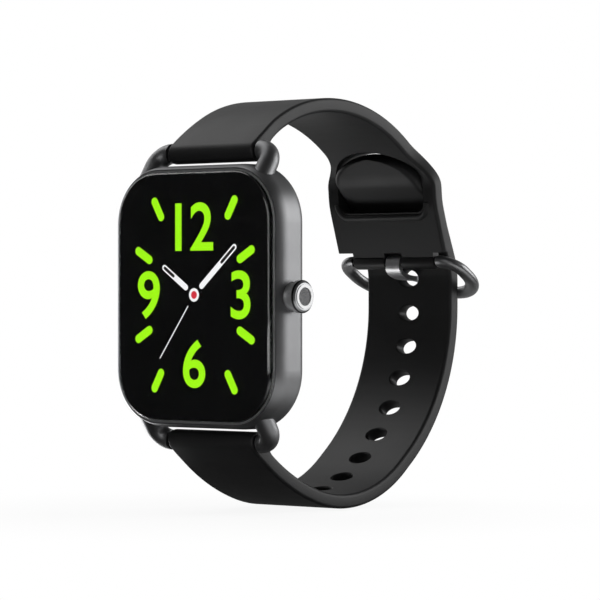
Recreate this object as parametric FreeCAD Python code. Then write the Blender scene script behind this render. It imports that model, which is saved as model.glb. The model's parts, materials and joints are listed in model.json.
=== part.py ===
import FreeCAD, Part
import math
import os

os.makedirs("parts", exist_ok=True)

V = FreeCAD.Vector

# Smartwatch, in millimetres. X runs to the wearer's right of the dial (3 o'clock), Y runs from the
# display back towards the wrist, Z runs up the dial (12 o'clock). Y = 0 is the flat back face.

# --- case -----------------------------------------------------------------------------------------
DISPLAY_WIDTH = 31.4
DISPLAY_HEIGHT = 38.4
DISPLAY_GAP = 1.0             # display panel to the inside of the side wall
SIDE_WALL = 2.2
CASE_WIDTH = DISPLAY_WIDTH + 2 * (DISPLAY_GAP + SIDE_WALL)
CASE_HEIGHT = DISPLAY_HEIGHT + 2 * (DISPLAY_GAP + SIDE_WALL)
CASE_CORNER = 10.0            # corner radius seen from the front
CASE_FRONT = -9.3             # Y of the frame's front rim
CASE_REAR = -2.0              # Y of the frame's rear face
SIDE_CROWN = 5.0              # radius of the side's curve towards the front rim
CROWN_INSET = 0.65            # front rim, in from the side
REAR_ROUND = 2.2
REAR_WALL = 1.0
REAR_OPENING_INSET = 4.3      # rear opening, in from the outside of the case
BEZEL_INSET = 0.8             # glass recess, in from the outside of the case
GLASS_LEDGE = -8.9            # Y of the ledge under the glass
FIT = 0.05                    # clearance of pieces dropped into a recess

# --- glass and display ----------------------------------------------------------------------------
TRIM_WIDTH = 0.35
TRIM_DEPTH = 0.55
GLASS_FRONT = -10.2
GLASS_GASKET = 0.2
GLASS_ROUND = 0.7
DISPLAY_DEPTH = 1.0
DISPLAY_CORNER = 6.8

# --- vibration motor ------------------------------------------------------------------------------
MOTOR_RADIUS = 4.0
MOTOR_DEPTH = 2.6
MOTOR_SHELL = 0.25
MOTOR_SHAFT = 0.4
MOTOR_GAP = 0.2
MOTOR_HUB = 1.2
MOTOR_WALL_GAP = 2.0          # motor to the carrier wall
ROTOR_CHORD = 0.9             # flat of the half disc, above the shaft

# --- inner carrier, board, battery ----------------------------------------------------------------
CARRIER_FRONT = -7.9
CARRIER_PLATE = 0.8
CARRIER_WALL = 0.8
CARRIER_GAP = 0.3             # carrier to side wall
CARRIER_INSET = SIDE_WALL + CARRIER_GAP + CARRIER_WALL
INSIDE_X = CASE_WIDTH / 2 - CARRIER_INSET
INSIDE_Z = CASE_HEIGHT / 2 - CARRIER_INSET
BOARD_GAP = 1.1               # board to the inside of the carrier
BOARD_FRONT = -5.6
BOARD_DEPTH = 0.8
BOARD_HALF = INSIDE_X - BOARD_GAP
BOARD_LOW = MOTOR_RADIUS + 0.6
BOARD_HIGH = INSIDE_Z - BOARD_GAP
MOTOR_X = MOTOR_RADIUS + MOTOR_WALL_GAP - INSIDE_X
POST_MARGIN = 2.2             # screw posts, in from the board's upper and lower edges
POST_X = BOARD_HALF - 3.1
POST_HIGH = BOARD_HIGH - POST_MARGIN
POST_LOW = BOARD_LOW + POST_MARGIN
POST_RADIUS = 1.4
SCREW_RADIUS = 0.6
SCREW_HEAD_RADIUS = 1.1
SCREW_HEAD = 0.6
SCREW_REACH = 1.3             # screw length below the board
BATTERY_SIDE_GAP = 4.1
BATTERY_END_GAP = 1.0
BATTERY_HALF = INSIDE_X - BATTERY_SIDE_GAP
BATTERY_DEPTH = 3.8
BATTERY_TOP = -MOTOR_RADIUS - 0.7
BATTERY_CORNER = 1.5
SHIELD_LEFT = -8.5
SHIELD_LOW = BOARD_LOW + 1.8
SHIELD_HIGH = BOARD_HIGH - 3.2
SHIELD_SHEET = 0.2
SHIELD_MARGIN = 1.0           # chip to the edge of the shield can
PROCESSOR_WIDTH = 7.5
PROCESSOR_DEPTH = 0.9
MEMORY_WIDTH = 3.6
MEMORY_GAP = 1.0              # processor to memory
MEMORY_HEIGHT = 4.6
MEMORY_DEPTH = 0.7
POWER_WIDTH = 3.4
POWER_HEIGHT = 3.8
POWER_DEPTH = 0.8
POWER_GAP = 1.3               # power chip to the screw heads
CONNECTOR_WIDTH = 7.2
CONNECTOR_HEIGHT = 1.8
CONNECTOR_DEPTH = 0.7
CONNECTOR_DROP = 2.2          # connector below the board's upper edge
FLEX = 0.12                   # thickness of the flexible circuits
RIBBON_WIDTH = 6.0
RIBBON_LEG = 6.0              # length of the display ribbon behind the display
RIBBON_GAP = 0.2              # ribbon to the board's edge
FLEX_NOTCH = 0.6              # board notch where the ribbon passes
BATTERY_TAB_WIDTH = 5.0
BATTERY_TAB_X = 1.0
BATTERY_TAB_OVERLAP = 3.0     # length of the battery tab on the board
SENSOR_RIBBON_WIDTH = 2.5
SENSOR_RIBBON_X = 8.25
SENSOR_RIBBON_RISE = 4.4      # ribbon's upright leg above the board's lower edge
SENSOR_PLUG_DEPTH = 0.6
SENSOR_PLUG_HEIGHT = 2.8

# --- back cover and sensors -----------------------------------------------------------------------
COVER_INSET = 3.0             # cover edge, in from the outside of the case
COVER_GASKET = 0.15
COVER_PLATE = 0.9
BUMP_RADIUS = 13.4
WINDOW_RADIUS = 9.6
WINDOW_DEPTH = 0.9
WINDOW_LEDGE = 0.7
SENSOR_BOARD_RADIUS = 10.0
SENSOR_BOARD_DEPTH = 0.5
LED_SIZE = 1.6
DIODE_SIZE = 2.6
DIODE_SPREAD = 5.4
CONTACT_RADIUS = 1.0
CONTACT_FLANGE = 0.3
CONTACT_X = 3.2
CONTACT_Z = -WINDOW_RADIUS - 1.5
MAGNET_RADIUS = 2.0
MAGNET_DEPTH = 1.2
MAGNET_X = CASE_WIDTH / 2 - REAR_OPENING_INSET - MAGNET_RADIUS - 3.0
MAGNET_Z = 0.6 - BUMP_RADIUS

# --- crown ----------------------------------------------------------------------------------------
AXIS_Y = -5.6                 # crown axis, mid depth of the frame
CROWN_TRAVEL = 0.4
CROWN_WELL_RADIUS = 2.5
CROWN_WELL_DEPTH = 1.2
SHANK_RADIUS = 2.4
HEAD_RADIUS = 2.77
HEAD_GAP = 1.15               # case side to the underside of the crown head
HEAD_LENGTH = 1.3
CROWN_RING_RADIUS = 2.04
CROWN_RING_BORE = 1.55
CROWN_RING_PROUD = 0.12
CROWN_POCKET = 0.5
STEM_RADIUS = 0.95
STEM_CLEARANCE = 0.05
BUSH_RADIUS = 1.7
BUSH_LENGTH = 2.8
BUSH_INNER_END = CASE_WIDTH / 2 - CROWN_WELL_DEPTH - BUSH_LENGTH
STEM_TAIL = 1.95              # stem beyond the bush
STEM_INNER_END = BUSH_INNER_END - STEM_TAIL
BOSS_RADIUS = 2.4
CLIP_RADIUS = 1.5
CLIP_WIDTH = 0.3
CLIP_GAP = 0.1
SEAL_WIRE = 0.15
SWITCH_FACE = STEM_INNER_END - 1.05
SWITCH_DEPTH = 1.8
SWITCH_PIN_RADIUS = 0.7
SWITCH_PIN_REACH = 0.4        # plunger inside the switch body at rest
SWITCH_HEAD_RADIUS = 1.2
SWITCH_HALF = 1.4
BRACKET_SHEET = 0.3
BRACKET_HALF = 2.6
CROWN_BAY_HALF = 3.4          # carrier cut away round the crown's parts
CHAMFER = 0.45
SEAL_GROOVE = 0.5
SEAL_SPACING = 1.1
STEM_GROOVE_DEPTH = 0.3

# --- lugs and spring bars -------------------------------------------------------------------------
STRAP_WIDTH = 19.6
BAR_REACH = 2.3               # spring bar axis beyond the case
BAR_Z = CASE_HEIGHT / 2 + BAR_REACH
BAR_Y = -4.0
LUG_ROD_RADIUS = 1.75
LUG_LEAN = 33.0               # lugs lean back towards the wrist
LUG_GAP = 0.5                 # strap side to the lug's end face
LUG_BEND = 2.8
LUG_FOOT = 3.5                # straight of the rod below its bend, before the case cuts it
LUG_END_X = STRAP_WIDTH / 2 + LUG_GAP
LUG_X = LUG_END_X + LUG_BEND
LUG_SPIGOT_RADIUS = 1.0
LUG_SPIGOT_DOWN = 2.65        # inner end of the spigot below the bend
LUG_SPIGOT_LENGTH = 2.9
TIP_RADIUS = 0.45
TIP_CLEARANCE = 0.05
TIP_REACH = 0.9               # spring bar tip inside the lug
BAR_RADIUS = 0.9
BAR_BORE = 0.65
BAR_HALF = STRAP_WIDTH / 2 - 0.4
PLUG_LENGTH = 1.4
PISTON_RADIUS = 0.6
PISTON_LENGTH = 2.1
RELEASE_TRAVEL = 1.1
RELEASE_X = BAR_HALF - 2.9
RELEASE_POST = 0.42
RELEASE_KNOB = 0.65
RELEASE_CAP = 0.4
RELEASE_REACH = 2.3
RELEASE_ANGLE = 30.0          # lever leans this far off straight back, towards the case
SPRING_WIRE = 0.11
SPRING_RADIUS = 0.42
SPRING_TURNS = 12

# --- straps ---------------------------------------------------------------------------------------
STRAP_THICKNESS = 2.5
BAND_HALF = STRAP_WIDTH / 2 - 0.35  # upper strap's half width behind the spring bar tube
LOWER_HALF = STRAP_WIDTH / 2 - 0.05  # lower strap's half width
STRAP_EDGE = 0.55             # rounding of the long edges
STRAP_HEAD_RADIUS = 1.75      # tube round the spring bar
STRAP_BORE_GAP = 0.05
# Centre lines as tangent runs from the spring bar: (length, 0) is straight, (radius, degrees) is an
# arc. The rise at the wearer's wrist takes up the distance between the two spring bars.
STRAP_OFFSET = 0.45           # centre line outside the spring bar axis
UPPER_START = 39.8
UPPER_ROOT = 2.6
UPPER_SHOULDER = 28.21
UPPER_TOP = 32.38
UPPER_TURN = 8.3
UPPER_DROP = 0.8
UPPER_BEND = 13.4
UPPER_END = 7.4
UPPER_RUNS = [(UPPER_ROOT, 0), (UPPER_SHOULDER, -29.8), (UPPER_TOP, -52.7), (UPPER_TURN, -42.8),
              (UPPER_DROP, 0), (UPPER_BEND, 13.5), (UPPER_END, 0)]
LOWER_START = -42.1
LOWER_ROOT = 1.8
LOWER_SHOULDER = 38.94
LOWER_UNDER = 24.9
LOWER_SLOPE = 2.1
LOWER_BACK = 34.78
LOOP_TAKE_UP = 44.8
LOWER_RISE = 2 * BAR_Z - LOOP_TAKE_UP
BUCKLE_BEND = 12.0
BUCKLE_RUN = 8.0
TUCK_BEND = 7.0
TUCK_RUN = 4.5
TAIL_BEND = 8.0
TAIL_RUN = 3.0
LOWER_RUNS = [(LOWER_ROOT, 0), (LOWER_SHOULDER, 25.3), (LOWER_UNDER, 55.9), (LOWER_SLOPE, 0),
              (LOWER_BACK, 50.9), (LOWER_RISE, 0), (BUCKLE_BEND, 22), (BUCKLE_RUN, 0),
              (TUCK_BEND, 26), (TUCK_RUN, 0), (TAIL_BEND, -20), (TAIL_RUN, 0)]
FLARE_HALF = STRAP_WIDTH / 2 + 2.8
FLARE_LOW = BAR_Z - 4.7
FLARE_HIGH = BAR_Z + 2.0
FLARE_BAY = 25.0              # Y behind which the upper strap flares
SLOT_BAY = 30.0               # Y behind which the slot is cut
SLOT_LOW = BAR_Z - 9.5
SLOT_HIGH = BAR_Z + 1.5
SLOT_SPRING = BAR_Z - 3.7        # Z where the slot's arch begins
SLOT_HALF = STRAP_WIDTH / 2 + 0.55
SLOT_CORNER = 1.9
SLOT_LIP = 1.0
SLOT_LIP_PROUD = 0.35
LIP_TOP = BAR_Z - 5.7         # Z where the raised lip stops
WEB_THICKNESS = 1.5           # strap end to the knuckle
HOLE_HALF_WIDTH = 2.4         # the adjustment holes are oval, wide across the strap
HOLE_HALF_LENGTH = 1.7
HOLE_PITCH = 6.3
HOLE_COUNT = 9
TANG_HOLE_Z = BAR_Z - 21.4
TAIL_ROUND = 5.2              # length of the rounded tail end

# --- buckle ---------------------------------------------------------------------------------------
PIN_OFFSET = 2.1              # pin axis beyond the strap end
PIN_RADIUS = 0.7
PIN_GAP = 0.05
KNUCKLE_RADIUS = 1.35
KNUCKLE_HALF = STRAP_WIDTH / 2 - 0.4
NOTCH_HALF = 2.0
RING_HALF_WIDTH = FLARE_HALF + 0.6
RING_REACH = 10.5             # pin axis to the ring's far bar
RING_ANGLE = -32.0
RING_BAND = 2.6               # section across the ring's face
RING_DEPTH = 2.0
RING_NEAR_CORNER = 3.3
RING_FAR_CORNER = 6.0
RING_END_X = KNUCKLE_HALF + 0.4
PIN_PRESS = 1.6               # pin length inside each ring end
TANG_HALF = 1.6
TANG_TIP_HALF = 1.5
TANG_THICKNESS = 0.8
TANG_EYE = 1.25
PAST = 80.0                   # reach of cutters past the whole watch


def export(name, shape):
    shape.exportStep("parts/" + name + ".step")


def box(x0, x1, y0, y1, z0, z1):
    return Part.makeBox(x1 - x0, y1 - y0, z1 - z0, V(x0, y0, z0))


def rod_x(radius, x0, x1, y, z):
    return Part.makeCylinder(radius, x1 - x0, V(x0, y, z), V(1, 0, 0))


def rod_y(radius, y0, y1, x, z):
    return Part.makeCylinder(radius, y1 - y0, V(x, y0, z), V(0, 1, 0))


def rounded_outline(half_x, half_z, corner, y):
    """Rounded rectangle in the plane of the dial."""
    cx = half_x - corner
    cz = half_z - corner
    lean = corner * math.sqrt(0.5)
    edges = []
    for sx, sz in ((1, 1), (-1, 1), (-1, -1), (1, -1)):
        side = V(sx * half_x, y, sz * cz)
        middle = V(sx * (cx + lean), y, sz * (cz + lean))
        end = V(sx * cx, y, sz * half_z)
        arc = (side, middle, end) if sx * sz > 0 else (end, middle, side)
        edges.append(arc)
    shape = []
    for index, (start, middle, end) in enumerate(edges):
        shape.append(Part.Arc(start, middle, end).toShape())
        following = edges[(index + 1) % 4][0]
        shape.append(Part.makeLine(end, following))
    return Part.Wire(shape)


def slab(half_x, half_z, corner, y0, y1):
    """Rounded rectangular plate between two depths."""
    face = Part.Face(rounded_outline(half_x, half_z, corner, y0))
    return face.extrude(V(0, y1 - y0, 0))


def rim_edges(shape, y):
    """Edges of a plate that lie in one depth plane."""
    found = []
    for edge in shape.Edges:
        bounds = edge.BoundBox
        if abs(bounds.YMin - y) < 1e-4 and abs(bounds.YMax - y) < 1e-4:
            found.append(edge)
    return found


def half_case(inset):
    return CASE_WIDTH / 2 - inset, CASE_HEIGHT / 2 - inset, CASE_CORNER - inset


# --- case pieces ----------------------------------------------------------------------------------

def case_outside():
    half_x, half_z, corner = half_case(0)
    turn = math.acos(1 - CROWN_INSET / SIDE_CROWN)
    start = CASE_FRONT - SIDE_CROWN * (1 - math.sin(turn))
    body = slab(half_x, half_z, corner, start, CASE_REAR)
    body = body.makeFillet(SIDE_CROWN, rim_edges(body, start))
    body = body.makeFillet(REAR_ROUND, rim_edges(body, CASE_REAR))
    return body.common(box(-PAST, PAST, CASE_FRONT, PAST, -PAST, PAST))


def case_side():
    return CASE_WIDTH / 2


def lug_direction(up):
    lean = math.radians(LUG_LEAN)
    return V(0, math.sin(lean), up * math.cos(lean))


def lug_bend_centre(side, up):
    return V(side * LUG_END_X, BAR_Y, up * BAR_Z) - lug_direction(up) * LUG_BEND


def lug_knee(side, up):
    return lug_bend_centre(side, up) + V(side * LUG_BEND, 0, 0)


def lug_rod(side, up):
    """One bent rod from inside the case wall to the face beside the strap."""
    rise = lug_direction(up)
    knee = lug_knee(side, up)
    foot = knee - rise * LUG_FOOT
    half = LUG_BEND * math.sqrt(0.5)
    middle = lug_bend_centre(side, up) + V(side * half, 0, 0) + rise * half
    end = V(side * LUG_END_X, BAR_Y, up * BAR_Z)
    path = Part.Wire([Part.makeLine(foot, knee), Part.Arc(knee, middle, end).toShape()])
    section = Part.Wire(Part.makeCircle(LUG_ROD_RADIUS, foot, rise))
    return path.makePipeShell([section], True, True)


def lug_spigot(side, up):
    rise = lug_direction(up)
    start = lug_knee(side, up) - rise * LUG_SPIGOT_DOWN
    return Part.makeCylinder(LUG_SPIGOT_RADIUS, LUG_SPIGOT_LENGTH, start, rise)


def lug(side, up, outside):
    rod = lug_rod(side, up).cut(outside)
    solids = sorted(rod.Solids, key=lambda solid: solid.Volume)
    body = solids[-1].fuse(lug_spigot(side, up)).removeSplitter()
    hole_end = LUG_END_X + TIP_REACH + 0.4
    low, high = sorted((side * (LUG_END_X - 1), side * hole_end))
    return body.cut(rod_x(TIP_RADIUS + TIP_CLEARANCE, low, high, BAR_Y, up * BAR_Z))


def case_frame(outside):
    body = outside.copy()
    half_x, half_z, corner = half_case(BEZEL_INSET)
    body = body.cut(slab(half_x, half_z, corner, CASE_FRONT - 1, GLASS_LEDGE))
    half_x, half_z, corner = half_case(SIDE_WALL)
    body = body.cut(slab(half_x, half_z, corner, GLASS_LEDGE - 1, CASE_REAR - REAR_WALL))
    half_x, half_z, corner = half_case(REAR_OPENING_INSET)
    body = body.cut(slab(half_x, half_z, corner, CASE_REAR - REAR_WALL - 1, CASE_REAR + 1))
    boss = rod_x(BOSS_RADIUS, BUSH_INNER_END, case_side() - SIDE_WALL + 0.5, AXIS_Y, 0)
    body = body.fuse(boss)
    well = case_side() - CROWN_WELL_DEPTH
    body = body.cut(rod_x(CROWN_WELL_RADIUS, well, case_side() + 1, AXIS_Y, 0))
    body = body.cut(rod_x(BUSH_RADIUS, BUSH_INNER_END - 1, well + 1, AXIS_Y, 0))
    for side in (-1, 1):
        for up in (-1, 1):
            body = body.cut(lug_spigot(side, up))
    return body.removeSplitter()


def bezel_trim():
    half_x, half_z, corner = half_case(BEZEL_INSET + FIT)
    front = GLASS_LEDGE - TRIM_DEPTH
    ring = slab(half_x, half_z, corner, front, GLASS_LEDGE)
    half_x, half_z, corner = half_case(BEZEL_INSET + FIT + TRIM_WIDTH)
    ring = ring.cut(slab(half_x, half_z, corner, front - 1, GLASS_LEDGE + 1))
    return ring


def glass_outline():
    return half_case(BEZEL_INSET + TRIM_WIDTH + 2 * FIT)


def cover_glass():
    half_x, half_z, corner = glass_outline()
    plate = slab(half_x, half_z, corner, GLASS_FRONT, GLASS_LEDGE - GLASS_GASKET)
    return plate.makeFillet(GLASS_ROUND, rim_edges(plate, GLASS_FRONT))


def glass_gasket():
    half_x, half_z, corner = glass_outline()
    ring = slab(half_x - 0.1, half_z - 0.1, corner - 0.1, GLASS_LEDGE - GLASS_GASKET, GLASS_LEDGE)
    half_x, half_z, corner = half_case(SIDE_WALL)
    return ring.cut(slab(half_x, half_z, corner, GLASS_LEDGE - 1, GLASS_LEDGE + 1))


def display_front():
    return GLASS_LEDGE - GLASS_GASKET


def display_panel():
    front = display_front()
    return slab(DISPLAY_WIDTH / 2, DISPLAY_HEIGHT / 2, DISPLAY_CORNER, front, front + DISPLAY_DEPTH)


# --- inside pieces --------------------------------------------------------------------------------

def post_places():
    return [(side * POST_X, z) for side in (-1, 1) for z in (POST_LOW, POST_HIGH)]


def flex_window():
    """Half width and height limits of the carrier window that the display ribbon passes through."""
    return RIBBON_WIDTH / 2 + 2.5, BOARD_HIGH - 1.2, BOARD_HIGH + 0.8


def carrier():
    half_x, half_z, corner = half_case(SIDE_WALL + CARRIER_GAP)
    rear = CASE_REAR - REAR_WALL
    plate_rear = CARRIER_FRONT + CARRIER_PLATE
    body = slab(half_x, half_z, corner, CARRIER_FRONT, rear)
    wall = CARRIER_WALL
    body = body.cut(slab(half_x - wall, half_z - wall, corner - wall, plate_rear, rear + 1))
    inner = BUSH_INNER_END - 0.7
    bay = CROWN_BAY_HALF
    body = body.cut(box(inner, half_x + 1, CARRIER_FRONT - 1, rear + 1, -bay, bay))
    half, low, high = flex_window()
    body = body.cut(box(-half, half, CARRIER_FRONT - 1, plate_rear + 0.5, low, high))
    for x, z in post_places():
        body = body.fuse(rod_y(POST_RADIUS, plate_rear - 0.2, BOARD_FRONT, x, z))
    for x, z in post_places():
        body = body.cut(rod_y(SCREW_RADIUS, BOARD_FRONT - SCREW_REACH, BOARD_FRONT + 1, x, z))
    return body.removeSplitter()


def board_rear():
    return BOARD_FRONT + BOARD_DEPTH


def main_board():
    half_x, half_z, corner = half_case(CARRIER_INSET + 0.3)
    body = slab(half_x, half_z, corner, BOARD_FRONT, board_rear())
    limit = BOARD_HALF
    body = body.common(box(-limit, limit, BOARD_FRONT, board_rear(), BOARD_LOW, BOARD_HIGH))
    half = flex_window()[0]
    low = BOARD_HIGH - FLEX_NOTCH
    body = body.cut(box(-half, half, BOARD_FRONT - 1, board_rear() + 1, low, BOARD_HIGH + 1))
    for x, z in post_places():
        body = body.cut(rod_y(SCREW_RADIUS, BOARD_FRONT - 1, board_rear() + 1, x, z))
    return body


def board_screws():
    screws = []
    for x, z in post_places():
        shank = rod_y(SCREW_RADIUS, BOARD_FRONT - SCREW_REACH, board_rear(), x, z)
        top = board_rear() + SCREW_HEAD
        head = rod_y(SCREW_HEAD_RADIUS, board_rear(), top, x, z)
        half = 0.7 * SCREW_HEAD_RADIUS
        slot = box(x - half, x + half, top - 0.4 * SCREW_HEAD, top + 1, z - 0.15, z + 0.15)
        screws.append(shank.fuse(head).cut(slot))
    return Part.makeCompound(screws)


def processor_left():
    return SHIELD_LEFT + 2 * SHIELD_MARGIN


def memory_left():
    return processor_left() + PROCESSOR_WIDTH + MEMORY_GAP


def shield_right():
    return memory_left() + MEMORY_WIDTH + 0.9 * SHIELD_MARGIN


def shield_can():
    front = CARRIER_FRONT + CARRIER_PLATE + 0.1
    sheet = SHIELD_SHEET
    right = shield_right()
    outer = box(SHIELD_LEFT, right, front, BOARD_FRONT, SHIELD_LOW, SHIELD_HIGH)
    inner = box(SHIELD_LEFT + sheet, right - sheet, front + sheet, BOARD_FRONT + 1,
                SHIELD_LOW + sheet, SHIELD_HIGH - sheet)
    return outer.cut(inner)


def processor_chip():
    left = processor_left()
    low = SHIELD_LOW + SHIELD_MARGIN
    high = SHIELD_HIGH - SHIELD_MARGIN
    return box(left, left + PROCESSOR_WIDTH, BOARD_FRONT - PROCESSOR_DEPTH, BOARD_FRONT, low, high)


def memory_chip():
    left = memory_left()
    low = SHIELD_LOW + SHIELD_MARGIN
    front = BOARD_FRONT - MEMORY_DEPTH
    return box(left, left + MEMORY_WIDTH, front, BOARD_FRONT, low, low + MEMORY_HEIGHT)


def power_chip():
    """Power management chip on the rear of the board, clear of the left-hand screws."""
    left = SCREW_HEAD_RADIUS + POWER_GAP - POST_X
    low = (POST_LOW + POST_HIGH - POWER_HEIGHT) / 2
    rear = board_rear() + POWER_DEPTH
    return box(left, left + POWER_WIDTH, board_rear(), rear, low, low + POWER_HEIGHT)


def connector_top():
    return BOARD_HIGH - CONNECTOR_DROP


def flex_connector():
    half = CONNECTOR_WIDTH / 2
    top = connector_top()
    rear = board_rear() + CONNECTOR_DEPTH
    return box(-half, half, board_rear(), rear, top - CONNECTOR_HEIGHT, top)


def display_flex():
    """Ribbon from the back of the display, round the board's top edge, on to its connector."""
    rear = display_front() + DISPLAY_DEPTH
    leg = BOARD_HIGH + RIBBON_GAP
    top = board_rear() + CONNECTOR_DEPTH
    half = RIBBON_WIDTH / 2
    start = box(-half, half, rear, rear + FLEX, leg - RIBBON_LEG, leg + FLEX)
    middle = box(-half, half, rear, top + FLEX, leg, leg + FLEX)
    end = box(-half, half, top, top + FLEX, connector_top() - CONNECTOR_HEIGHT, leg + FLEX)
    return start.fuse(middle).fuse(end).removeSplitter()


def battery():
    front = CARRIER_FRONT + CARRIER_PLATE
    half = BATTERY_HALF
    low = BATTERY_END_GAP - INSIDE_Z
    body = box(-half, half, front, front + BATTERY_DEPTH, low, BATTERY_TOP)
    upright = []
    for edge in body.Edges:
        if edge.BoundBox.YLength > BATTERY_DEPTH - 0.01:
            upright.append(edge)
    return body.makeFillet(BATTERY_CORNER, upright)


def battery_flex():
    """Tab from the battery's upper edge on to the rear of the board."""
    left = BATTERY_TAB_X - BATTERY_TAB_WIDTH / 2
    right = BATTERY_TAB_X + BATTERY_TAB_WIDTH / 2
    top = BOARD_LOW + BATTERY_TAB_OVERLAP
    return box(left, right, board_rear(), board_rear() + FLEX, BATTERY_TOP, top)


def motor_front():
    return CARRIER_FRONT + CARRIER_PLATE


def motor_cover():
    front = motor_front()
    rear = front + MOTOR_DEPTH - MOTOR_SHELL
    can = rod_y(MOTOR_RADIUS, front, rear, MOTOR_X, 0)
    return can.cut(rod_y(MOTOR_RADIUS - MOTOR_SHELL, front + MOTOR_SHELL, rear + 1, MOTOR_X, 0))


def motor_base():
    rear = motor_front() + MOTOR_DEPTH
    return rod_y(MOTOR_RADIUS, rear - MOTOR_SHELL, rear, MOTOR_X, 0)


def motor_shaft():
    front = motor_front() + MOTOR_SHELL
    rear = motor_front() + MOTOR_DEPTH - MOTOR_SHELL
    return rod_y(MOTOR_SHAFT, front, rear, MOTOR_X, 0)


def motor_rotor():
    """Eccentric half disc that spins on the shaft."""
    front = motor_front() + MOTOR_SHELL + MOTOR_GAP
    rear = motor_front() + MOTOR_DEPTH - MOTOR_SHELL - MOTOR_GAP
    radius = MOTOR_RADIUS - MOTOR_SHELL - MOTOR_GAP
    weight = rod_y(radius, front, rear, MOTOR_X, 0)
    low = MOTOR_X - MOTOR_RADIUS
    high = MOTOR_X + MOTOR_RADIUS
    weight = weight.cut(box(low, high, front - 1, rear + 1, ROTOR_CHORD, MOTOR_RADIUS))
    hub = rod_y(MOTOR_HUB, front, rear, MOTOR_X, 0)
    return weight.fuse(hub).cut(rod_y(MOTOR_SHAFT + PIN_GAP, front - 1, rear + 1, MOTOR_X, 0))


# --- back cover and sensors -----------------------------------------------------------------------

def cover_front():
    return CASE_REAR + COVER_GASKET


def cover_bump():
    return cover_front() + COVER_PLATE


def back_cover():
    half_x, half_z, corner = half_case(COVER_INSET)
    plate = slab(half_x, half_z, corner, cover_front(), cover_bump())
    plate = plate.makeFillet(0.5, rim_edges(plate, cover_bump()))
    bump = rod_y(BUMP_RADIUS, cover_front() + 0.1, 0, 0, 0)
    bump = bump.makeFillet(0.6, rim_edges(bump, 0))
    body = plate.fuse(bump)
    half_x, half_z, corner = half_case(REAR_OPENING_INSET + 0.2)
    lip = slab(half_x, half_z, corner, CASE_REAR - REAR_WALL, cover_front() + 0.1)
    lip = lip.cut(slab(half_x - 0.8, half_z - 0.8, corner - 0.8, CASE_REAR - REAR_WALL - 1, 1))
    body = body.fuse(lip)
    body = body.cut(rod_y(WINDOW_RADIUS + FIT, -WINDOW_DEPTH, 1, 0, 0))
    body = body.cut(rod_y(WINDOW_RADIUS - WINDOW_LEDGE, cover_front() - 1, 0, 0, 0))
    for side in (-1, 1):
        body = body.cut(rod_y(CONTACT_RADIUS, cover_front() - 1, 1, side * CONTACT_X, CONTACT_Z))
    return body.removeSplitter()


def back_gasket():
    half_x, half_z, corner = half_case(COVER_INSET + 0.2)
    ring = slab(half_x, half_z, corner, CASE_REAR, cover_front())
    half_x, half_z, corner = half_case(REAR_OPENING_INSET)
    return ring.cut(slab(half_x, half_z, corner, CASE_REAR - 1, cover_front() + 1))


def sensor_window():
    return rod_y(WINDOW_RADIUS, -WINDOW_DEPTH, 0, 0, 0)


def sensor_board():
    return rod_y(SENSOR_BOARD_RADIUS, cover_front() - SENSOR_BOARD_DEPTH, cover_front(), 0, 0)


def sensor_leds():
    half = LED_SIZE / 2
    tall = 0.7 * half
    rear = cover_front() + 0.5
    leds = []
    for z in (-LED_SIZE, LED_SIZE):
        leds.append(box(-half, half, cover_front(), rear, z - tall, z + tall))
    return Part.makeCompound(leds)


def photodiodes():
    half = DIODE_SIZE / 2
    rear = cover_front() + 0.4
    cells = []
    for x, z in ((DIODE_SPREAD, 0), (-DIODE_SPREAD, 0), (0, DIODE_SPREAD), (0, -DIODE_SPREAD)):
        cells.append(box(x - half, x + half, cover_front(), rear, z - half, z + half))
    return Part.makeCompound(cells)


def sensor_flex():
    """Ribbon from the sensor board to a plug on the main board."""
    low = cover_front() - SENSOR_BOARD_DEPTH - FLEX
    plug = board_rear() + SENSOR_PLUG_DEPTH
    left = SENSOR_RIBBON_X - SENSOR_RIBBON_WIDTH / 2
    right = SENSOR_RIBBON_X + SENSOR_RIBBON_WIDTH / 2
    leg = BOARD_LOW + SENSOR_RIBBON_RISE
    start = box(left, right, low, low + FLEX, 1.0, leg)
    middle = box(left, right, plug, low + FLEX, leg - FLEX, leg)
    end = box(left, right, plug, plug + FLEX, leg - FLEX, leg + 3.0)
    foot = leg + 0.6
    pad = box(left - 0.4, right + 0.4, board_rear(), plug, foot, foot + SENSOR_PLUG_HEIGHT)
    return start.fuse(middle).fuse(end).fuse(pad).removeSplitter()


def charge_contacts():
    pins = []
    flange = CONTACT_RADIUS + CONTACT_FLANGE
    for side in (-1, 1):
        x = side * CONTACT_X
        pin = rod_y(CONTACT_RADIUS, cover_front(), 0, x, CONTACT_Z)
        foot = rod_y(flange, cover_front() - 0.4, cover_front(), x, CONTACT_Z)
        pins.append(pin.fuse(foot))
    return Part.makeCompound(pins)


def dock_magnets():
    discs = []
    for side in (-1, 1):
        front = cover_front() - MAGNET_DEPTH
        discs.append(rod_y(MAGNET_RADIUS, front, cover_front(), side * MAGNET_X, MAGNET_Z))
    return Part.makeCompound(discs)


# --- crown ----------------------------------------------------------------------------------------

def head_underside():
    return case_side() + HEAD_GAP


def head_face():
    return head_underside() + HEAD_LENGTH


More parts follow.
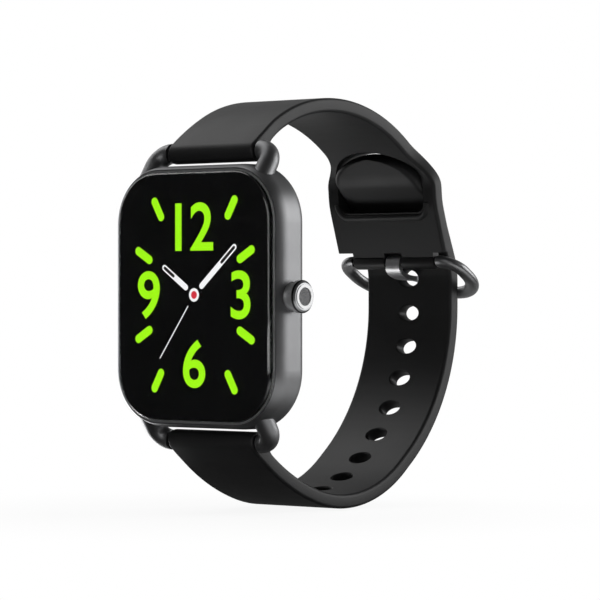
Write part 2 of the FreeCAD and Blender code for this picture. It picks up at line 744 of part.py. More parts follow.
def crown_knob():
    shank_end = case_side() - CROWN_WELL_DEPTH + CROWN_TRAVEL + 0.1
    body = rod_x(SHANK_RADIUS, shank_end, head_underside() + 0.2, AXIS_Y, 0)
    under = head_underside()
    groove = rod_x(SHANK_RADIUS + 1, under - 0.25, under, AXIS_Y, 0)
    groove = groove.cut(rod_x(SHANK_RADIUS - 0.25, under - 1, under + 1, AXIS_Y, 0))
    body = body.cut(groove)
    head = rod_x(HEAD_RADIUS, under, head_face(), AXIS_Y, 0)
    front = []
    for edge in head.Edges:
        if abs(edge.BoundBox.XMin - head_face()) < 1e-4:
            front.append(edge)
    head = head.makeChamfer(CHAMFER, front)
    body = body.fuse(head)
    pocket = head_face() - CROWN_POCKET
    body = body.cut(rod_x(CROWN_RING_RADIUS, pocket, head_face() + 1, AXIS_Y, 0))
    return body.cut(rod_x(STEM_RADIUS, shank_end - 1, stem_outer_end(), AXIS_Y, 0)).removeSplitter()


def stem_outer_end():
    return head_face() - CROWN_POCKET - 0.35


def crown_ring():
    low = head_face() - CROWN_POCKET
    high = head_face() + CROWN_RING_PROUD
    ring = rod_x(CROWN_RING_RADIUS, low, high, AXIS_Y, 0)
    return ring.cut(rod_x(CROWN_RING_BORE, low - 1, high + 1, AXIS_Y, 0))


def crown_disc():
    return rod_x(CROWN_RING_BORE, head_face() - CROWN_POCKET, head_face() - 0.02, AXIS_Y, 0)


def seal_places():
    middle = BUSH_INNER_END + BUSH_LENGTH / 2
    return [middle - SEAL_SPACING / 2, middle + SEAL_SPACING / 2]


def groove_radius():
    """Radius of the stem at the floor of its grooves."""
    return STEM_RADIUS - STEM_GROOVE_DEPTH


def crown_stem():
    body = rod_x(STEM_RADIUS, STEM_INNER_END, stem_outer_end(), AXIS_Y, 0)
    for x in seal_places():
        groove = rod_x(STEM_RADIUS + 0.5, x - SEAL_GROOVE / 2, x + SEAL_GROOVE / 2, AXIS_Y, 0)
        body = body.cut(groove.cut(rod_x(groove_radius(), x - 1, x + 1, AXIS_Y, 0)))
    low = BUSH_INNER_END - CLIP_GAP - CLIP_WIDTH
    groove = rod_x(STEM_RADIUS + 0.5, low, low + CLIP_WIDTH, AXIS_Y, 0)
    return body.cut(groove.cut(rod_x(groove_radius(), low - 1, low + 1, AXIS_Y, 0)))


def crown_seals():
    rings = []
    for x in seal_places():
        centre = groove_radius() + SEAL_WIRE + 0.01
        rings.append(Part.makeTorus(centre, SEAL_WIRE, V(x, AXIS_Y, 0), V(1, 0, 0)))
    return Part.makeCompound(rings)


def stem_clip():
    """Open retaining clip that stops the crown pulling out."""
    low = BUSH_INNER_END - CLIP_GAP - CLIP_WIDTH
    ring = rod_x(CLIP_RADIUS, low, low + CLIP_WIDTH, AXIS_Y, 0)
    ring = ring.cut(rod_x(groove_radius(), low - 1, low + 1, AXIS_Y, 0))
    gap = groove_radius() - 0.15
    return ring.cut(box(low - 1, low + 1, AXIS_Y - gap, AXIS_Y + gap, 0, 2 * CLIP_RADIUS))


def crown_bush():
    start = BUSH_INNER_END
    end = start + BUSH_LENGTH
    body = rod_x(BUSH_RADIUS, start, end, AXIS_Y, 0)
    return body.cut(rod_x(STEM_RADIUS + STEM_CLEARANCE, start - 1, end + 1, AXIS_Y, 0))


def switch_plunger():
    """Sliding button of the crown switch; the stem pushes its head."""
    head_low = SWITCH_FACE + CROWN_TRAVEL + 0.2
    head = rod_x(SWITCH_HEAD_RADIUS, head_low, STEM_INNER_END - 0.1, AXIS_Y, 0)
    shank = rod_x(SWITCH_PIN_RADIUS, SWITCH_FACE - SWITCH_PIN_REACH, head_low, AXIS_Y, 0)
    return head.fuse(shank)


def switch_body():
    rear = SWITCH_FACE - SWITCH_DEPTH
    tall = SWITCH_HEAD_RADIUS
    body = box(rear, SWITCH_FACE, AXIS_Y - tall, AXIS_Y + tall, -SWITCH_HALF, SWITCH_HALF)
    bottom = SWITCH_FACE - SWITCH_PIN_REACH - CROWN_TRAVEL - 0.1
    return body.cut(rod_x(SWITCH_PIN_RADIUS + FIT, bottom, SWITCH_FACE + 1, AXIS_Y, 0))


def switch_bracket():
    base_y = CARRIER_FRONT + CARRIER_PLATE
    rear = SWITCH_FACE - SWITCH_DEPTH
    inner = rear - BRACKET_SHEET
    half = BRACKET_HALF
    upright = box(inner, rear, base_y, AXIS_Y + SWITCH_HEAD_RADIUS + 0.6, -half, half)
    base = box(inner, SWITCH_FACE + 1.2, base_y, base_y + BRACKET_SHEET, -half, half)
    return upright.fuse(base).removeSplitter()


# --- spring bars ----------------------------------------------------------------------------------

def bar_tube(up):
    body = rod_x(BAR_RADIUS, -BAR_HALF, BAR_HALF, BAR_Y, up * BAR_Z)
    nose = BAR_HALF - 0.8
    body = body.cut(rod_x(BAR_BORE, -BAR_HALF - 1, nose, BAR_Y, up * BAR_Z))
    body = body.cut(rod_x(TIP_RADIUS + TIP_CLEARANCE, nose - 1, BAR_HALF + 1, BAR_Y, up * BAR_Z))
    return body.cut(lever_slot(up, RELEASE_POST + 0.1, 0, BAR_RADIUS + 1))


def lever_direction(up):
    lean = math.radians(RELEASE_ANGLE)
    return V(0, math.cos(lean), -up * math.sin(lean))


def lever_slot(up, half, start, reach):
    """Long hole that the lever's post slides in."""
    direction = lever_direction(up)
    base = V(0, BAR_Y, up * BAR_Z) + direction * start
    length = reach - start
    low = RELEASE_X - RELEASE_TRAVEL
    ends = []
    for x in (low, RELEASE_X):
        ends.append(Part.makeCylinder(half, length, base + V(x, 0, 0), direction))
    side = direction.cross(V(1, 0, 0))
    corner = base + V(low, 0, 0) - side * half
    across = side * (2 * half)
    far = corner + V(RELEASE_TRAVEL, 0, 0)
    outline = Part.makePolygon([corner, far, far + across, corner + across, corner])
    bridge = Part.Face(outline).extrude(direction * length)
    return ends[0].fuse(ends[1]).fuse(bridge)


def bar_fixed_tip(up):
    z = up * BAR_Z
    plug = rod_x(BAR_BORE, -BAR_HALF, -BAR_HALF + PLUG_LENGTH, BAR_Y, z)
    return plug.fuse(rod_x(TIP_RADIUS, -LUG_END_X - TIP_REACH, -BAR_HALF + 0.1, BAR_Y, z))


def piston_start():
    return RELEASE_X - 0.6


def release_plunger(up):
    """Sliding tip of the spring bar with the thumb lever that draws it in."""
    z = up * BAR_Z
    piston = rod_x(PISTON_RADIUS, piston_start(), piston_start() + PISTON_LENGTH, BAR_Y, z)
    tip = rod_x(TIP_RADIUS, piston_start(), LUG_END_X + TIP_REACH, BAR_Y, z)
    direction = lever_direction(up)
    root = V(RELEASE_X, BAR_Y, z)
    neck = RELEASE_REACH - RELEASE_CAP
    post = Part.makeCylinder(RELEASE_POST, neck, root, direction)
    knob = Part.makeCylinder(RELEASE_KNOB, RELEASE_CAP, root + direction * neck, direction)
    return piston.fuse(tip).fuse(post).fuse(knob).removeSplitter()


def bar_spring(up):
    start = -BAR_HALF + PLUG_LENGTH + SPRING_WIRE + 0.02
    end = piston_start() - SPRING_WIRE - 0.02
    length = end - start
    helix = Part.makeHelix(length / SPRING_TURNS, length, SPRING_RADIUS)
    section = Part.Wire(Part.makeCircle(SPRING_WIRE, V(SPRING_RADIUS, 0, 0), V(0, 1, 0)))
    coil = Part.Wire(helix).makePipeShell([section], True, True)
    coil.rotate(V(0, 0, 0), V(0, 1, 0), 90)
    coil.translate(V(start, BAR_Y, up * BAR_Z))
    return coil


# --- straps ---------------------------------------------------------------------------------------

def heading(angle):
    lean = math.radians(angle)
    return V(0, math.cos(lean), math.sin(lean))


def left_of(direction):
    return V(0, -direction.z, direction.y)


def walk(start, angle, runs):
    """Stations along a centre line: for each run its start, middle and end with their headings."""
    stations = []
    point = start
    for size, sweep in runs:
        if sweep == 0:
            middle = point + heading(angle) * (size / 2)
            end = point + heading(angle) * size
            stations.append(((point, angle), (middle, angle), (end, angle), False))
        else:
            turn = 1 if sweep > 0 else -1
            centre = point + left_of(heading(angle)) * (turn * size)
            marks = []
            for part in (0, 0.5, 1):
                now = angle + sweep * part
                marks.append((centre - left_of(heading(now)) * (turn * size), now))
            stations.append((marks[0], marks[1], marks[2], True))
            angle = angle + sweep
        point = stations[-1][2][0]
    return stations


def along(stations, runs, distance):
    """Point and heading at a distance along a centre line."""
    for (start, middle, end, curved), (size, sweep) in zip(stations, runs):
        length = abs(math.radians(sweep)) * size if curved else size
        if distance <= length + 1e-9:
            if not curved:
                return start[0] + heading(start[1]) * distance, start[1]
            turn = 1 if sweep > 0 else -1
            centre = start[0] + left_of(heading(start[1])) * (turn * size)
            now = start[1] + sweep * distance / length
            return centre - left_of(heading(now)) * (turn * size), now
        distance -= length
    raise ValueError("distance is past the end of the strap")


def offset_edges(stations, offset):
    edges = []
    for start, middle, end, curved in stations:
        points = [p + left_of(heading(a)) * offset for p, a in (start, middle, end)]
        if curved:
            edges.append(Part.Arc(points[0], points[1], points[2]).toShape())
        else:
            edges.append(Part.makeLine(points[0], points[2]))
    return edges


def strap_band(stations, thickness, half_width):
    """Band of even thickness along a centre line, extruded across the strap."""
    first = stations[0][0]
    last = stations[-1][2]
    outer = offset_edges(stations, thickness / 2)
    inner = offset_edges(stations, -thickness / 2)
    ends = []
    for point, angle in (first, last):
        side = left_of(heading(angle)) * (thickness / 2)
        ends.append(Part.makeLine(point - side, point + side))
    wire = Part.Wire(Part.__sortEdges__(outer + inner + ends))
    face = Part.Face(wire)
    face.translate(V(-half_width, 0, 0))
    return face.extrude(V(2 * half_width, 0, 0))


def side_edges(shape):
    """Long edges of a strap, where its two faces meet its sides."""
    found = []
    for edge in shape.Edges:
        reach = min(abs(vertex.X) for vertex in edge.Vertexes)
        same_side = edge.Vertexes[0].X * edge.Vertexes[-1].X > 0
        across = abs(edge.Length - STRAP_THICKNESS) < 0.01
        if reach > BAND_HALF - 0.1 and same_side and not across:
            found.append(edge)
    return found


def strap_head(up):
    return rod_x(STRAP_HEAD_RADIUS, -STRAP_WIDTH / 2, STRAP_WIDTH / 2, BAR_Y, up * BAR_Z)


def strap_bores(up):
    bore = rod_x(BAR_RADIUS + STRAP_BORE_GAP, -PAST, PAST, BAR_Y, up * BAR_Z)
    return bore.fuse(lever_slot(up, RELEASE_KNOB + 0.3, 0.4, RELEASE_REACH + 2))


def upper_stations():
    outward = left_of(heading(UPPER_START))
    return walk(V(0, BAR_Y, BAR_Z) + outward * STRAP_OFFSET, UPPER_START, UPPER_RUNS)


def lower_stations():
    outward = left_of(heading(LOWER_START)) * -1
    return walk(V(0, BAR_Y, -BAR_Z) + outward * STRAP_OFFSET, LOWER_START, LOWER_RUNS)


def pin_centre():
    end, angle = upper_stations()[-1][2]
    return end + heading(angle) * PIN_OFFSET


def flare_outline():
    """Strap outline in the plane of the flared end, as a cutter through the strap."""
    half = BAND_HALF
    step = (FLARE_HIGH - FLARE_LOW) / 3
    edges = []
    for side in (-1, 1):
        poles = [V(side * half, 0, FLARE_HIGH), V(side * half, 0, FLARE_HIGH - step),
                 V(side * FLARE_HALF, 0, FLARE_LOW + step), V(side * FLARE_HALF, 0, FLARE_LOW)]
        curve = Part.BezierCurve()
        curve.setPoles(poles)
        edges.append(curve.toShape())
        edges.append(Part.makeLine(V(side * half, 0, FLARE_HIGH), V(side * half, 0, PAST)))
        edges.append(Part.makeLine(V(side * FLARE_HALF, 0, FLARE_LOW), V(side * FLARE_HALF, 0, 0)))
    edges.append(Part.makeLine(V(-half, 0, PAST), V(half, 0, PAST)))
    edges.append(Part.makeLine(V(-FLARE_HALF, 0, 0), V(FLARE_HALF, 0, 0)))
    return Part.Wire(Part.__sortEdges__(edges))


def slot_outline(grow, low):
    """Slot for the strap tail: flat lower edge, arched top."""
    half = SLOT_HALF + grow
    high = SLOT_HIGH + grow
    corner = SLOT_CORNER + grow
    lean = corner * (1 - math.sqrt(0.5))
    bends = []
    for side in (1, -1):
        foot = V(side * (half - corner), 0, low)
        middle = V(side * (half - lean), 0, low + lean)
        bends.append(Part.Arc(foot, middle, V(side * half, 0, low + corner)).toShape())
    oval = Part.Ellipse(V(half, 0, SLOT_SPRING), V(0, 0, high), V(0, 0, SLOT_SPRING))
    arch = Part.Arc(oval, 0, math.pi).toShape()
    edges = [
        Part.makeLine(V(corner - half, 0, low), V(half - corner, 0, low)),
        bends[0],
        Part.makeLine(V(half, 0, low + corner), V(half, 0, SLOT_SPRING)),
        arch,
        Part.makeLine(V(-half, 0, SLOT_SPRING), V(-half, 0, low + corner)),
        bends[1],
    ]
    return Part.Wire(edges)


def prism_back(wire, y0, y1):
    face = Part.Face(wire)
    face.translate(V(0, y0, 0))
    return face.extrude(V(0, y1 - y0, 0))


def flared_band(stations):
    """Upper strap band, cut to its flared outline, with rounded long edges."""
    band = strap_band(stations, STRAP_THICKNESS, FLARE_HALF + 1)
    band = band.common(prism_back(flare_outline(), BAR_Y - 3, PAST))
    half = BAND_HALF
    narrow = box(-half, half, BAR_Y - 4, FLARE_BAY, 0, PAST)
    wide = box(-FLARE_HALF, FLARE_HALF, FLARE_BAY, PAST, 0, PAST)
    band = band.common(narrow.fuse(wide)).removeSplitter()
    return band.makeFillet(STRAP_EDGE, side_edges(band))


def slot_lip(stations):
    """Raised lip along the lower rim of the slot."""
    pin = pin_centre()
    lip = strap_band(stations[4:], STRAP_THICKNESS + 2 * SLOT_LIP_PROUD, SLOT_HALF + SLOT_LIP)
    lip = lip.common(prism_back(slot_outline(SLOT_LIP, SLOT_LOW - SLOT_LIP), SLOT_BAY, PAST))
    return lip.common(box(-PAST, PAST, SLOT_BAY, pin.y - PIN_OFFSET - 0.1, 0, LIP_TOP))


def upper_strap():
    stations = upper_stations()
    band = flared_band(stations)
    pin = pin_centre()
    knuckle = rod_x(KNUCKLE_RADIUS, -KNUCKLE_HALF, KNUCKLE_HALF, pin.y, pin.z)
    end, angle = stations[-1][2]
    root = end - heading(angle) * 0.5
    web = strap_band(walk(root, angle, [(PIN_OFFSET + 0.5, 0)]), WEB_THICKNESS, KNUCKLE_HALF)
    body = band.fuse(slot_lip(stations)).fuse(strap_head(1)).fuse(web).fuse(knuckle)
    body = body.cut(prism_back(slot_outline(0, SLOT_LOW), SLOT_BAY, PAST))
    body = body.cut(rod_x(PIN_RADIUS + PIN_GAP, -PAST, PAST, pin.y, pin.z))
    length = PIN_OFFSET + KNUCKLE_RADIUS + 1
    notch = strap_band(walk(end, angle, [(length, 0)]), 2 * STRAP_THICKNESS + 1, NOTCH_HALF)
    return body.cut(notch).cut(strap_bores(1)).removeSplitter()


def tang_hole_distance():
    """Distance along the lower strap to the hole that takes the tang."""
    stations = lower_stations()
    total = 0
    for (start, middle, end, curved), (size, sweep) in zip(stations, LOWER_RUNS):
        if end[0].y > 40 and end[0].z > TANG_HOLE_Z - 5:
            break
        total += abs(math.radians(sweep)) * size if curved else size
    while along(stations, LOWER_RUNS, total)[0].z < TANG_HOLE_Z:
        total += 0.05
    return total


def oval_cutter(centre, angle, half_width, half_length, reach):
    """Oval prism through a strap, on both sides of its centre line."""
    across = left_of(heading(angle))
    oval = Part.Ellipse(V(0, 0, 0), half_width, half_length).toShape()
    face = Part.Face(Part.Wire(oval))
    turn = FreeCAD.Rotation(V(1, 0, 0), heading(angle), across, "XYZ")
    face.Placement = FreeCAD.Placement(centre - across * reach, turn)
    return face.extrude(across * (2 * reach))


def tail_cutter(end, angle):
    """What is cut from the tail to leave its rounded end."""
    half = LOWER_HALF
    root = end - heading(angle) * TAIL_ROUND
    reach = STRAP_THICKNESS + 1
    block = strap_band(walk(root, angle, [(TAIL_ROUND + 1, 0)]), 2 * reach, half + 1)
    return block.cut(oval_cutter(root, angle, half + 0.2, TAIL_ROUND, reach + 1))


def lower_strap():
    stations = lower_stations()
    band = strap_band(stations, STRAP_THICKNESS, LOWER_HALF)
    band = band.makeFillet(STRAP_EDGE, side_edges(band))
    end, angle = stations[-1][2]
    body = band.cut(tail_cutter(end, angle)).fuse(strap_head(-1))
    first = tang_hole_distance()
    reach = STRAP_THICKNESS + 1
    for index in range(HOLE_COUNT):
        point, lean = along(stations, LOWER_RUNS, first - index * HOLE_PITCH)
        body = body.cut(oval_cutter(point, lean, HOLE_HALF_WIDTH, HOLE_HALF_LENGTH, reach))
    return body.cut(strap_bores(-1)).removeSplitter()


# --- buckle ---------------------------------------------------------------------------------------

def ring_point(x, reach):
    return pin_centre() + V(x, 0, 0) + heading(RING_ANGLE) * reach


def buckle_ring():
    """Open oval ring of flattened bar whose two ends face each other on the pin."""
    width = RING_HALF_WIDTH
    near = RING_NEAR_CORNER
    far = RING_FAR_CORNER
    lean = math.sqrt(0.5)
    edges = []
    for side in (1, -1):
        points = [
            ring_point(side * RING_END_X, 0),
            ring_point(side * (width - near), 0),
            ring_point(side * (width - near + near * lean), near * (1 - lean)),
            ring_point(side * width, near),
            ring_point(side * width, RING_REACH - far),
            ring_point(side * (width - far + far * lean), RING_REACH - far + far * lean),
            ring_point(side * (width - far), RING_REACH),
        ]
        pieces = [
            Part.makeLine(points[0], points[1]),
            Part.Arc(points[1], points[2], points[3]).toShape(),
            Part.makeLine(points[3], points[4]),
            Part.Arc(points[4], points[5], points[6]).toShape(),
        ]
        edges.append(pieces)
    bridge = Part.makeLine(ring_point(width - far, RING_REACH), ring_point(far - width, RING_REACH))
    path = Part.Wire(edges[0] + [bridge] + edges[1][::-1])
    section = Part.Ellipse(V(0, 0, 0), RING_BAND / 2, RING_DEPTH / 2).toShape()
    turn = FreeCAD.Rotation(heading(RING_ANGLE), left_of(heading(RING_ANGLE)), V(1, 0, 0), "XYZ")
    section.Placement = FreeCAD.Placement(ring_point(RING_END_X, 0), turn)
    body = path.makePipeShell([Part.Wire(section)], True, True)
    return body.cut(buckle_pin())


def buckle_pin():
    pin = pin_centre()
    half = RING_END_X + PIN_PRESS
    return rod_x(PIN_RADIUS, -half, half, pin.y, pin.z)


def tang_line():
    """Middle line of the tang in the plane across the pin: down from the eye, then out."""
    pin = pin_centre()
    hole_point = along(lower_stations(), LOWER_RUNS, tang_hole_distance())[0]
    bar = ring_point(0, RING_REACH)
    rest = bar + V(0, 0.1, RING_DEPTH / 2 + RING_BAND * 0.12 + TANG_THICKNESS / 2 + 0.2)
    eye = TANG_EYE - TANG_THICKNESS / 2
    top = V(0, pin.y - eye, pin.z)
    elbow = V(0, pin.y - eye + 0.25, pin.z - 1.7)
    knee = V(0, pin.y + 0.9, hole_point.z + 0.55)
    return [top, elbow, knee, V(0, hole_point.y, hole_point.z + 0.1), rest]


def tang():
    pin = pin_centre()
    points = tang_line()
    wires = []
    for offset in (TANG_THICKNESS / 2, -TANG_THICKNESS / 2):
        row = []
        for index, point in enumerate(points):
            before = points[max(index - 1, 0)]
            after = points[min(index + 1, len(points) - 1)]
            direction = (after - before).normalize()
            row.append(point + left_of(direction) * offset)
        curve = Part.BSplineCurve()
        curve.interpolate(row)
        wires.append(curve)
    start = Part.makeLine(wires[0].StartPoint, wires[1].StartPoint)
    end = Part.makeLine(wires[0].EndPoint, wires[1].EndPoint)
    edges = Part.__sortEdges__([wires[0].toShape(), wires[1].toShape(), start, end])
    face = Part.Face(Part.Wire(edges))
    face.translate(V(-TANG_HALF, 0, 0))
    strip = face.extrude(V(2 * TANG_HALF, 0, 0))
    knee = points[2]
    for side in (-1, 1):
        low, high = sorted((side * TANG_TIP_HALF, side * (TANG_HALF + 1)))
        strip = strip.cut(box(low, high, knee.y + 0.8, PAST, knee.z - RING_REACH, knee.z + RING_REACH))
    eye = rod_x(TANG_EYE, -TANG_HALF, TANG_HALF, pin.y, pin.z)
    body = eye.fuse(strip)
    return body.cut(rod_x(PIN_RADIUS + PIN_GAP, -PAST, PAST, pin.y, pin.z)).removeSplitter()


def build_case():
    outside = case_outside()
    export("case_frame", case_frame(outside))
    export("lug_upper_left", lug(-1, 1, outside))
    export("lug_upper_right", lug(1, 1, outside))
    export("lug_lower_left", lug(-1, -1, outside))
    export("lug_lower_right", lug(1, -1, outside))
    export("bezel_trim", bezel_trim())
    export("cover_glass", cover_glass())
    export("glass_gasket", glass_gasket())
    export("display_panel", display_panel())
    export("display_flex", display_flex())


def build_inside():
    export("carrier", carrier())
    export("main_board", main_board())
    export("board_screws", board_screws())
    export("shield_can", shield_can())
    export("processor_chip", processor_chip())
    export("memory_chip", memory_chip())
    export("power_chip", power_chip())
    export("flex_connector", flex_connector())
    export("battery", battery())
    export("battery_flex", battery_flex())
    export("motor_cover", motor_cover())
    export("motor_base", motor_base())
    export("motor_shaft", motor_shaft())
    export("motor_rotor", motor_rotor())


def build_back():
    export("back_cover", back_cover())
    export("back_gasket", back_gasket())
    export("sensor_window", sensor_window())
    export("sensor_board", sensor_board())
    export("sensor_leds", sensor_leds())
    export("photodiodes", photodiodes())
    export("sensor_flex", sensor_flex())
    export("charge_contacts", charge_contacts())
    export("dock_magnets", dock_magnets())


def build_crown():
    export("crown_knob", crown_knob())
    export("crown_ring", crown_ring())
    export("crown_disc", crown_disc())
    export("crown_stem", crown_stem())
    export("crown_seals", crown_seals())
    export("stem_clip", stem_clip())
    export("crown_bush", crown_bush())
    export("switch_plunger", switch_plunger())
    export("switch_body", switch_body())
    export("switch_bracket", switch_bracket())


def build_straps():
    for name, up in (("upper", 1), ("lower", -1)):
        export(name + "_bar_tube", bar_tube(up))
        export(name + "_bar_tip", bar_fixed_tip(up))
        export(name + "_bar_spring", bar_spring(up))
        export(name + "_release", release_plunger(up))
    export("upper_strap", upper_strap())
    export("lower_strap", lower_strap())


def build_buckle():
    export("buckle_ring", buckle_ring())
    export("buckle_pin", buckle_pin())
    export("buckle_tang", tang())


build_case()
build_inside()
build_back()
build_crown()
build_straps()
build_buckle()
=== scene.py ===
import json
import math

import bmesh
import bpy
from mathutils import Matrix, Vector, kdtree


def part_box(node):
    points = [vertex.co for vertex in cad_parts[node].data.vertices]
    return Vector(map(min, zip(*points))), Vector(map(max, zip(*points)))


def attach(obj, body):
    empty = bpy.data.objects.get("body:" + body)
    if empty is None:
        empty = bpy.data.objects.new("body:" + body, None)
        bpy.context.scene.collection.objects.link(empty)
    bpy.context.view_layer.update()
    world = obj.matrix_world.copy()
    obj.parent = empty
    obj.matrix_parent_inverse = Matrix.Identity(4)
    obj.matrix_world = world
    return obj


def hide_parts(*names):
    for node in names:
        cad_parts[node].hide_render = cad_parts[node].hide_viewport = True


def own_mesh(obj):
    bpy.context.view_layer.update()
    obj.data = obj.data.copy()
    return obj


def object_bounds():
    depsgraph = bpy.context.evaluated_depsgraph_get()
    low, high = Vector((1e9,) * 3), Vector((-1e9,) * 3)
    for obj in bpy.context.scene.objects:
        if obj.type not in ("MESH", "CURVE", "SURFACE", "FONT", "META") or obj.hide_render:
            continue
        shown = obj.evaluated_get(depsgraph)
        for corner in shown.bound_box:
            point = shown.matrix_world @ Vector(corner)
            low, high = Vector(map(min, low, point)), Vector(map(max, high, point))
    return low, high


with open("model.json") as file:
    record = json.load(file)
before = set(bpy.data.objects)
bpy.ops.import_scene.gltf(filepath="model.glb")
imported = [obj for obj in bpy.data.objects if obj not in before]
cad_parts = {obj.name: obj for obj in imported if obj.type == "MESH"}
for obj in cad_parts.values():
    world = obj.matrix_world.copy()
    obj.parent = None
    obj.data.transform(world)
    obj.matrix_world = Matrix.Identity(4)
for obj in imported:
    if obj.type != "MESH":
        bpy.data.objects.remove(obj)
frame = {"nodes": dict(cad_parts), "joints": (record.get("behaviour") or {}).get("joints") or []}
cad_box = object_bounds()
mm = 0.001

# ---- camera and studio ---------------------------------------------------------------------------
# A level camera far off, 41 degrees round to the crown side, as for a catalogue picture. The room is white
# to the camera. Mirrors see only its backdrop, dimmed, the floor with a painted shadow round the watch, and
# two glowing patches painted on the floor that only mirrors see and that are brighter than white: a painted
# reflection for the tucked tail, and a wide one on the crown side.
scene = bpy.context.scene
scene.view_settings.view_transform = "Standard"
view_angle = math.radians(41.0)
look = Vector((-math.sin(view_angle), math.cos(view_angle), 0.0))
camera_data = bpy.data.cameras.new("camera")
camera_data.lens = 192.0
camera_data.sensor_width = 36.0
camera = bpy.data.objects.new("camera", camera_data)
camera.location = (0.36968, -0.40749, -0.00056)
camera.rotation_euler = (math.radians(90.0), 0.0, view_angle)
scene.collection.objects.link(camera)
scene.camera = camera


class Value:
    """The output of a shader node. Sums with it add Math nodes."""

    def __init__(self, finish, socket):
        self.finish = finish
        self.socket = socket

    def maths(self, operation, *terms):
        inputs = {index: term for index, term in enumerate(terms)}
        return self.finish.node("ShaderNodeMath", {"operation": operation}, inputs)

    def __add__(self, other):
        return self.maths("ADD", self, other)

    def __radd__(self, other):
        return self.maths("ADD", other, self)

    def __rsub__(self, other):
        return self.maths("SUBTRACT", other, self)

    def __mul__(self, other):
        return self.maths("MULTIPLY", self, other)

    def __rmul__(self, other):
        return self.maths("MULTIPLY", other, self)

    def smooth(self, low, high):
        """0 below low, 1 above high, with a soft step between."""
        settings = {"interpolation_type": "SMOOTHSTEP"}
        inputs = {"Value": self, "From Min": low, "From Max": high}
        return self.finish.node("ShaderNodeMapRange", settings, inputs)


class Finish:
    """A node tree being filled: one surface finish, or the room's."""

    def __init__(self, tree):
        self.tree = tree
        tree.nodes.clear()

    def node(self, kind, settings=None, inputs=None, output=0):
        made = self.tree.nodes.new(kind)
        for name, value in (settings or {}).items():
            setattr(made, name, value)
        for name, value in (inputs or {}).items():
            if isinstance(value, Value):
                self.tree.links.new(value.socket, made.inputs[name])
            else:
                made.inputs[name].default_value = value
        return Value(self, made.outputs[output] if made.outputs else made)

    def mix(self, factor, first, second):
        """Colour between two colours."""
        inputs = {0: factor, 6: first, 7: second}
        return self.node("ShaderNodeMix", {"data_type": "RGBA"}, inputs, 2)


def backdrop(finish, direction):
    """What a mirror shows in a direction: white towards the backdrop, nearly dark elsewhere."""
    settings = {"operation": "DOT_PRODUCT"}
    facing = finish.node("ShaderNodeVectorMath", settings, {0: direction, 1: look}, 1)
    return facing.smooth(0.25, 0.75) * 0.4 + 0.02


world = bpy.data.worlds.new("room")
world.use_nodes = True
scene.world = world
room = Finish(world.node_tree)
seen = room.node("ShaderNodeLightPath", output=0)
glossy = room.node("ShaderNodeLightPath", output=3)
through = room.node("ShaderNodeLightPath", output=6)
mirrored = seen.maths("MAXIMUM", glossy, through) * (1 - seen)
plain = 1 - (seen + mirrored)
shown = backdrop(room, room.node("ShaderNodeTexCoord", output=0))
strength = seen + mirrored * shown + plain * 0.25
background = room.node("ShaderNodeBackground", None, {"Color": (1, 1, 1, 1), "Strength": strength})
room.node("ShaderNodeOutputWorld", None, {"Surface": background})

floor_mesh = bpy.data.meshes.new("floor")
reach = 3.0
floor_low = cad_box[0][2] - 0.2 * mm
corners = [(-reach, -reach, floor_low), (reach, -reach, floor_low), (reach, reach, floor_low),
           (-reach, reach, floor_low)]
floor_mesh.from_pydata(corners, [], [(0, 1, 2, 3)])
floor = bpy.data.objects.new("floor", floor_mesh)
scene.collection.objects.link(floor)
floor_paint = bpy.data.materials.new("floor_paint")
floor_paint.use_nodes = True
paint = Finish(floor_paint.node_tree)
seen = paint.node("ShaderNodeLightPath", output=0)
glossy = paint.node("ShaderNodeLightPath", output=3)
through = paint.node("ShaderNodeLightPath", output=6)
mirrored = seen.maths("MAXIMUM", glossy, through) * (1 - seen)
incoming = paint.node("ShaderNodeNewGeometry", output=4)
outgoing = paint.node("ShaderNodeVectorMath", {"operation": "SCALE"}, {0: incoming, 3: -1.0})
shown = backdrop(paint, outgoing)
lit = paint.node("ShaderNodeBsdfDiffuse", None, {"Color": (0.9, 0.9, 0.9, 1)})
place = paint.node("ShaderNodeTexCoord", output=3)
radius = paint.node("ShaderNodeVectorMath", {"operation": "LENGTH"}, {0: place}, 1)
# Glowing patches painted on the floor that only mirrors see, as painted reflection rather than lamps: a
# small card on the left that the tucked tail mirrors, and a wide glow on the crown side.
CARD_STRENGTH = 6.0
RIGHT_STRENGTH = 1.8
card_place = (-0.052, 0.008, floor_low)
from_card = paint.node("ShaderNodeVectorMath", {"operation": "DISTANCE"}, {0: place, 1: card_place}, 1)
painted_card_glow = 1 - from_card.smooth(0.01, 0.03)
aside = paint.node("ShaderNodeSeparateXYZ", None, {0: place}, 0)
right_glow = aside.smooth(0.02, 0.05) * (1 - radius.smooth(0.07, 0.13))
# To mirrors the floor is also darkened round the watch: a painted shadow.
shown = shown * radius.smooth(0.015, 0.08) + RIGHT_STRENGTH * right_glow + CARD_STRENGTH * painted_card_glow
glow = paint.node("ShaderNodeEmission", None, {"Color": (1, 1, 1, 1), "Strength": seen + mirrored * shown})
share = mirrored + seen * (0.9 + 0.1 * radius.smooth(0.03, 0.085))
mixed = paint.node("ShaderNodeMixShader", None, {0: share, 1: lit, 2: glow})
paint.node("ShaderNodeOutputMaterial", None, {"Surface": mixed})
floor_mesh.materials.append(floor_paint)


def softbox(name, place, target, width, height, watts):
    """A soft rectangular lamp that shines from a place at a target."""
    lamp = bpy.data.lights.new(name, "AREA")
    lamp.shape = "RECTANGLE"
    lamp.size = width
    lamp.size_y = height
    lamp.energy = watts
    box = bpy.data.objects.new(name, lamp)
    box.location = place
    aim = Vector(target) - Vector(place)
    box.rotation_euler = aim.to_track_quat("-Z", "Y").to_euler()
    scene.collection.objects.link(box)


